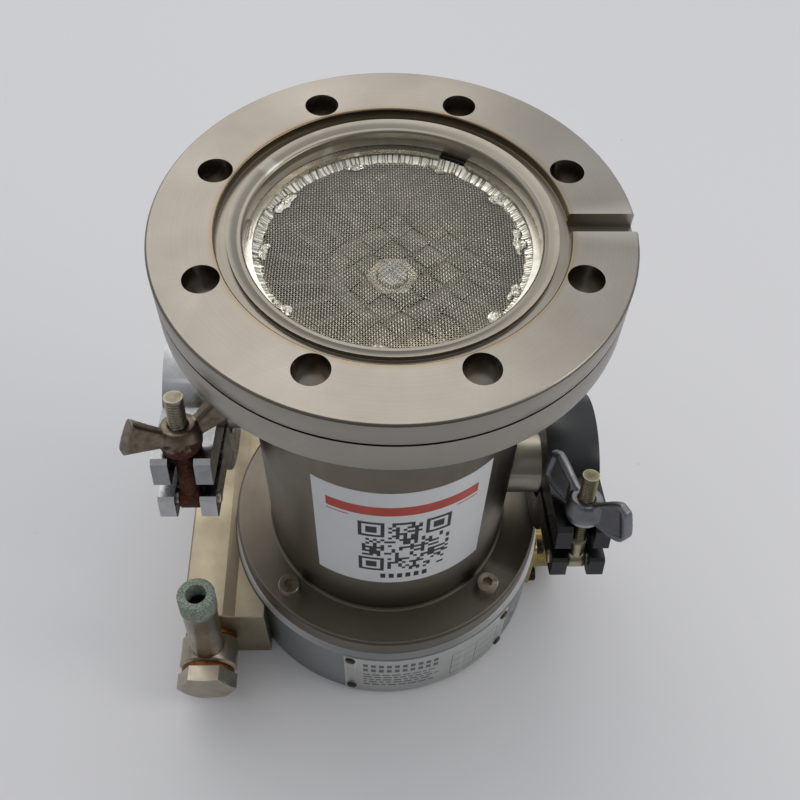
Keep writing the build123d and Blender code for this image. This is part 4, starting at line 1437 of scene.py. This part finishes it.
# ---- surroundings ----------------------------------------------------------------------------------
@dataclass
class Studio:
    """Pale floor, soft light from above and behind, and the camera.

    Args:
        camera_at: place of the camera.
        heading: turn of the camera about +Z, in degrees from looking along +Y.
        elevation: angle in degrees that it looks down.
        roll: turn about its own axis, in degrees.
        lens: focal length on a sensor 36 mm wide.
        floor_colour: sRGB hex colour of the floor.
        floor_half: half the side of the floor.
        sky_colour: sRGB hex colour of the room's light.
        sky_strength: strength of that light where it is brightest.
    """

    camera_at: Point = (-5.30, -159.87, 325.04)
    heading: float = -3.0
    elevation: float = 54.55
    roll: float = 2.18
    lens: float = 42.53
    floor_colour: str = "dcdcde"
    floor_half: float = 3000.0
    sky_colour: str = "eef0f4"
    sky_strength: float = 1.392

    def camera(self) -> None:
        """Place the camera."""
        data = bpy.data.cameras.new("camera")
        data.lens, data.sensor_width = self.lens, SENSOR
        data.clip_start, data.clip_end = 0.01, 20.0
        camera = bpy.data.objects.new("camera", data)
        bpy.context.scene.collection.objects.link(camera)
        turn = (
            Matrix.Rotation(math.radians(self.heading), 4, "Z")
            @ Matrix.Rotation(math.radians(90 - self.elevation), 4, "X")
            @ Matrix.Rotation(math.radians(self.roll), 4, "Z")
        )
        camera.matrix_world = Matrix.Translation(Vector(self.camera_at) * MM) @ turn
        bpy.context.scene.camera = camera

    def floor(self) -> None:
        """Lay the pale floor under the pump, with a few specks of dust."""
        half = self.floor_half
        mesh = bpy.data.meshes.new("floor")
        corners = [(-half, -half), (half, -half), (half, half), (-half, half)]
        mesh.from_pydata([Vector((x, y, 0)) * MM for x, y in corners], [], [[0, 1, 2, 3]])
        floor = bpy.data.objects.new("floor", mesh)
        bpy.context.scene.collection.objects.link(floor)
        material = bpy.data.materials.new("floor_board_matt")
        material.use_nodes = True
        tree = material.node_tree
        shader = tree.nodes["Principled BSDF"]
        shader.inputs["Roughness"].default_value = 0.55
        place = add_node(tree, "ShaderNodeTexCoord").outputs["Object"]
        specks = add_node(tree, "ShaderNodeTexNoise", {"Scale": 160.0, "Detail": 2.0}, {"Vector": place})
        few = add_node(
            tree,
            "ShaderNodeMapRange",
            {"From Min": 0.76, "From Max": 0.80, "To Min": 0.0, "To Max": 0.25},
            {"Value": specks.outputs["Fac"]},
        ).outputs["Result"]
        colour = Finish.mix(tree, few, linear(self.floor_colour), linear("8a8a8c"))
        tree.links.new(colour, shader.inputs["Base Color"])
        mesh.materials.append(material)

    def sky(self) -> None:
        """Light the room: pale above and behind, dimmer low down in front."""
        world = bpy.data.worlds.new("room")
        bpy.context.scene.world = world
        world.use_nodes = True
        tree = world.node_tree
        direction = add_node(tree, "ShaderNodeTexCoord").outputs["Generated"]
        parts = add_node(tree, "ShaderNodeSeparateXYZ", links={"Vector": direction}).outputs
        height, behind = (
            add_node(
                tree,
                "ShaderNodeMapRange",
                {"From Min": start, "From Max": end, "To Min": dim, "To Max": 1.0},
                {"Value": part},
            ).outputs["Result"]
            for part, start, end, dim in ((parts[2], -0.1, 0.9, 0.25), (parts[1], -0.8, 0.6, 0.2))
        )
        level = add_node(tree, "ShaderNodeMath", {"operation": "MULTIPLY"}, {0: height, 1: behind}).outputs[0]
        strength = add_node(
            tree, "ShaderNodeMath", {"operation": "MULTIPLY", 1: self.sky_strength}, {0: level}
        ).outputs[0]
        background = tree.nodes["Background"]
        background.inputs["Color"].default_value = linear(self.sky_colour)
        tree.links.new(strength, background.inputs["Strength"])

    def lamp(self, name: str, place: Point, aim: Point, size: float, power: float, colour: str) -> None:
        """Hang one soft lamp.

        Args:
            name: name of the lamp.
            place: where it hangs.
            aim: where it points.
            size: side of its square.
            power: power in watts.
            colour: sRGB hex colour.
        """
        data = bpy.data.lights.new(name, "AREA")
        data.energy, data.size, data.color = power, size * MM, linear(colour)[:3]
        lamp = bpy.data.objects.new(name, data)
        bpy.context.scene.collection.objects.link(lamp)
        turn = (Vector(aim) - Vector(place)).to_track_quat("-Z", "Y").to_matrix().to_4x4()
        lamp.matrix_world = Matrix.Translation(Vector(place) * MM) @ turn

    def build(self) -> None:
        """Set up the view, the floor and the light."""
        bpy.context.scene.view_settings.view_transform = "Standard"
        self.camera()
        self.floor()
        self.sky()
        self.lamp("window_lamp", (-200, 640, 860), (0, 0, 120), 760, 1.7, "fffaf2")
        self.lamp("side_lamp", (640, -140, 560), (0, 0, 150), 300, 1.0, "fffaf2")


def main() -> None:
    """Build the pump's looks in order."""
    logging.basicConfig(level=logging.INFO, format="%(name)s: %(message)s")
    parts = [
        Studio(),
        InletScreen(),
        casing_and_base(),
        water_and_power(),
        rotor_and_motor(),
        AssetSticker(),
        PlateMarks(),
        HingedClamp("right", MOULDED_NYLON, DIE_CAST_ZINC, WORN_CHROMATE, WingShape.BROAD, 34.0),
        HingedClamp("left", CAST_ALUMINIUM, RUSTED_NUT, RUSTED_BOLT, WingShape.STUB, -60.0),
    ]
    for part in parts:
        part.build()


if __name__ == "__main__":
    main()
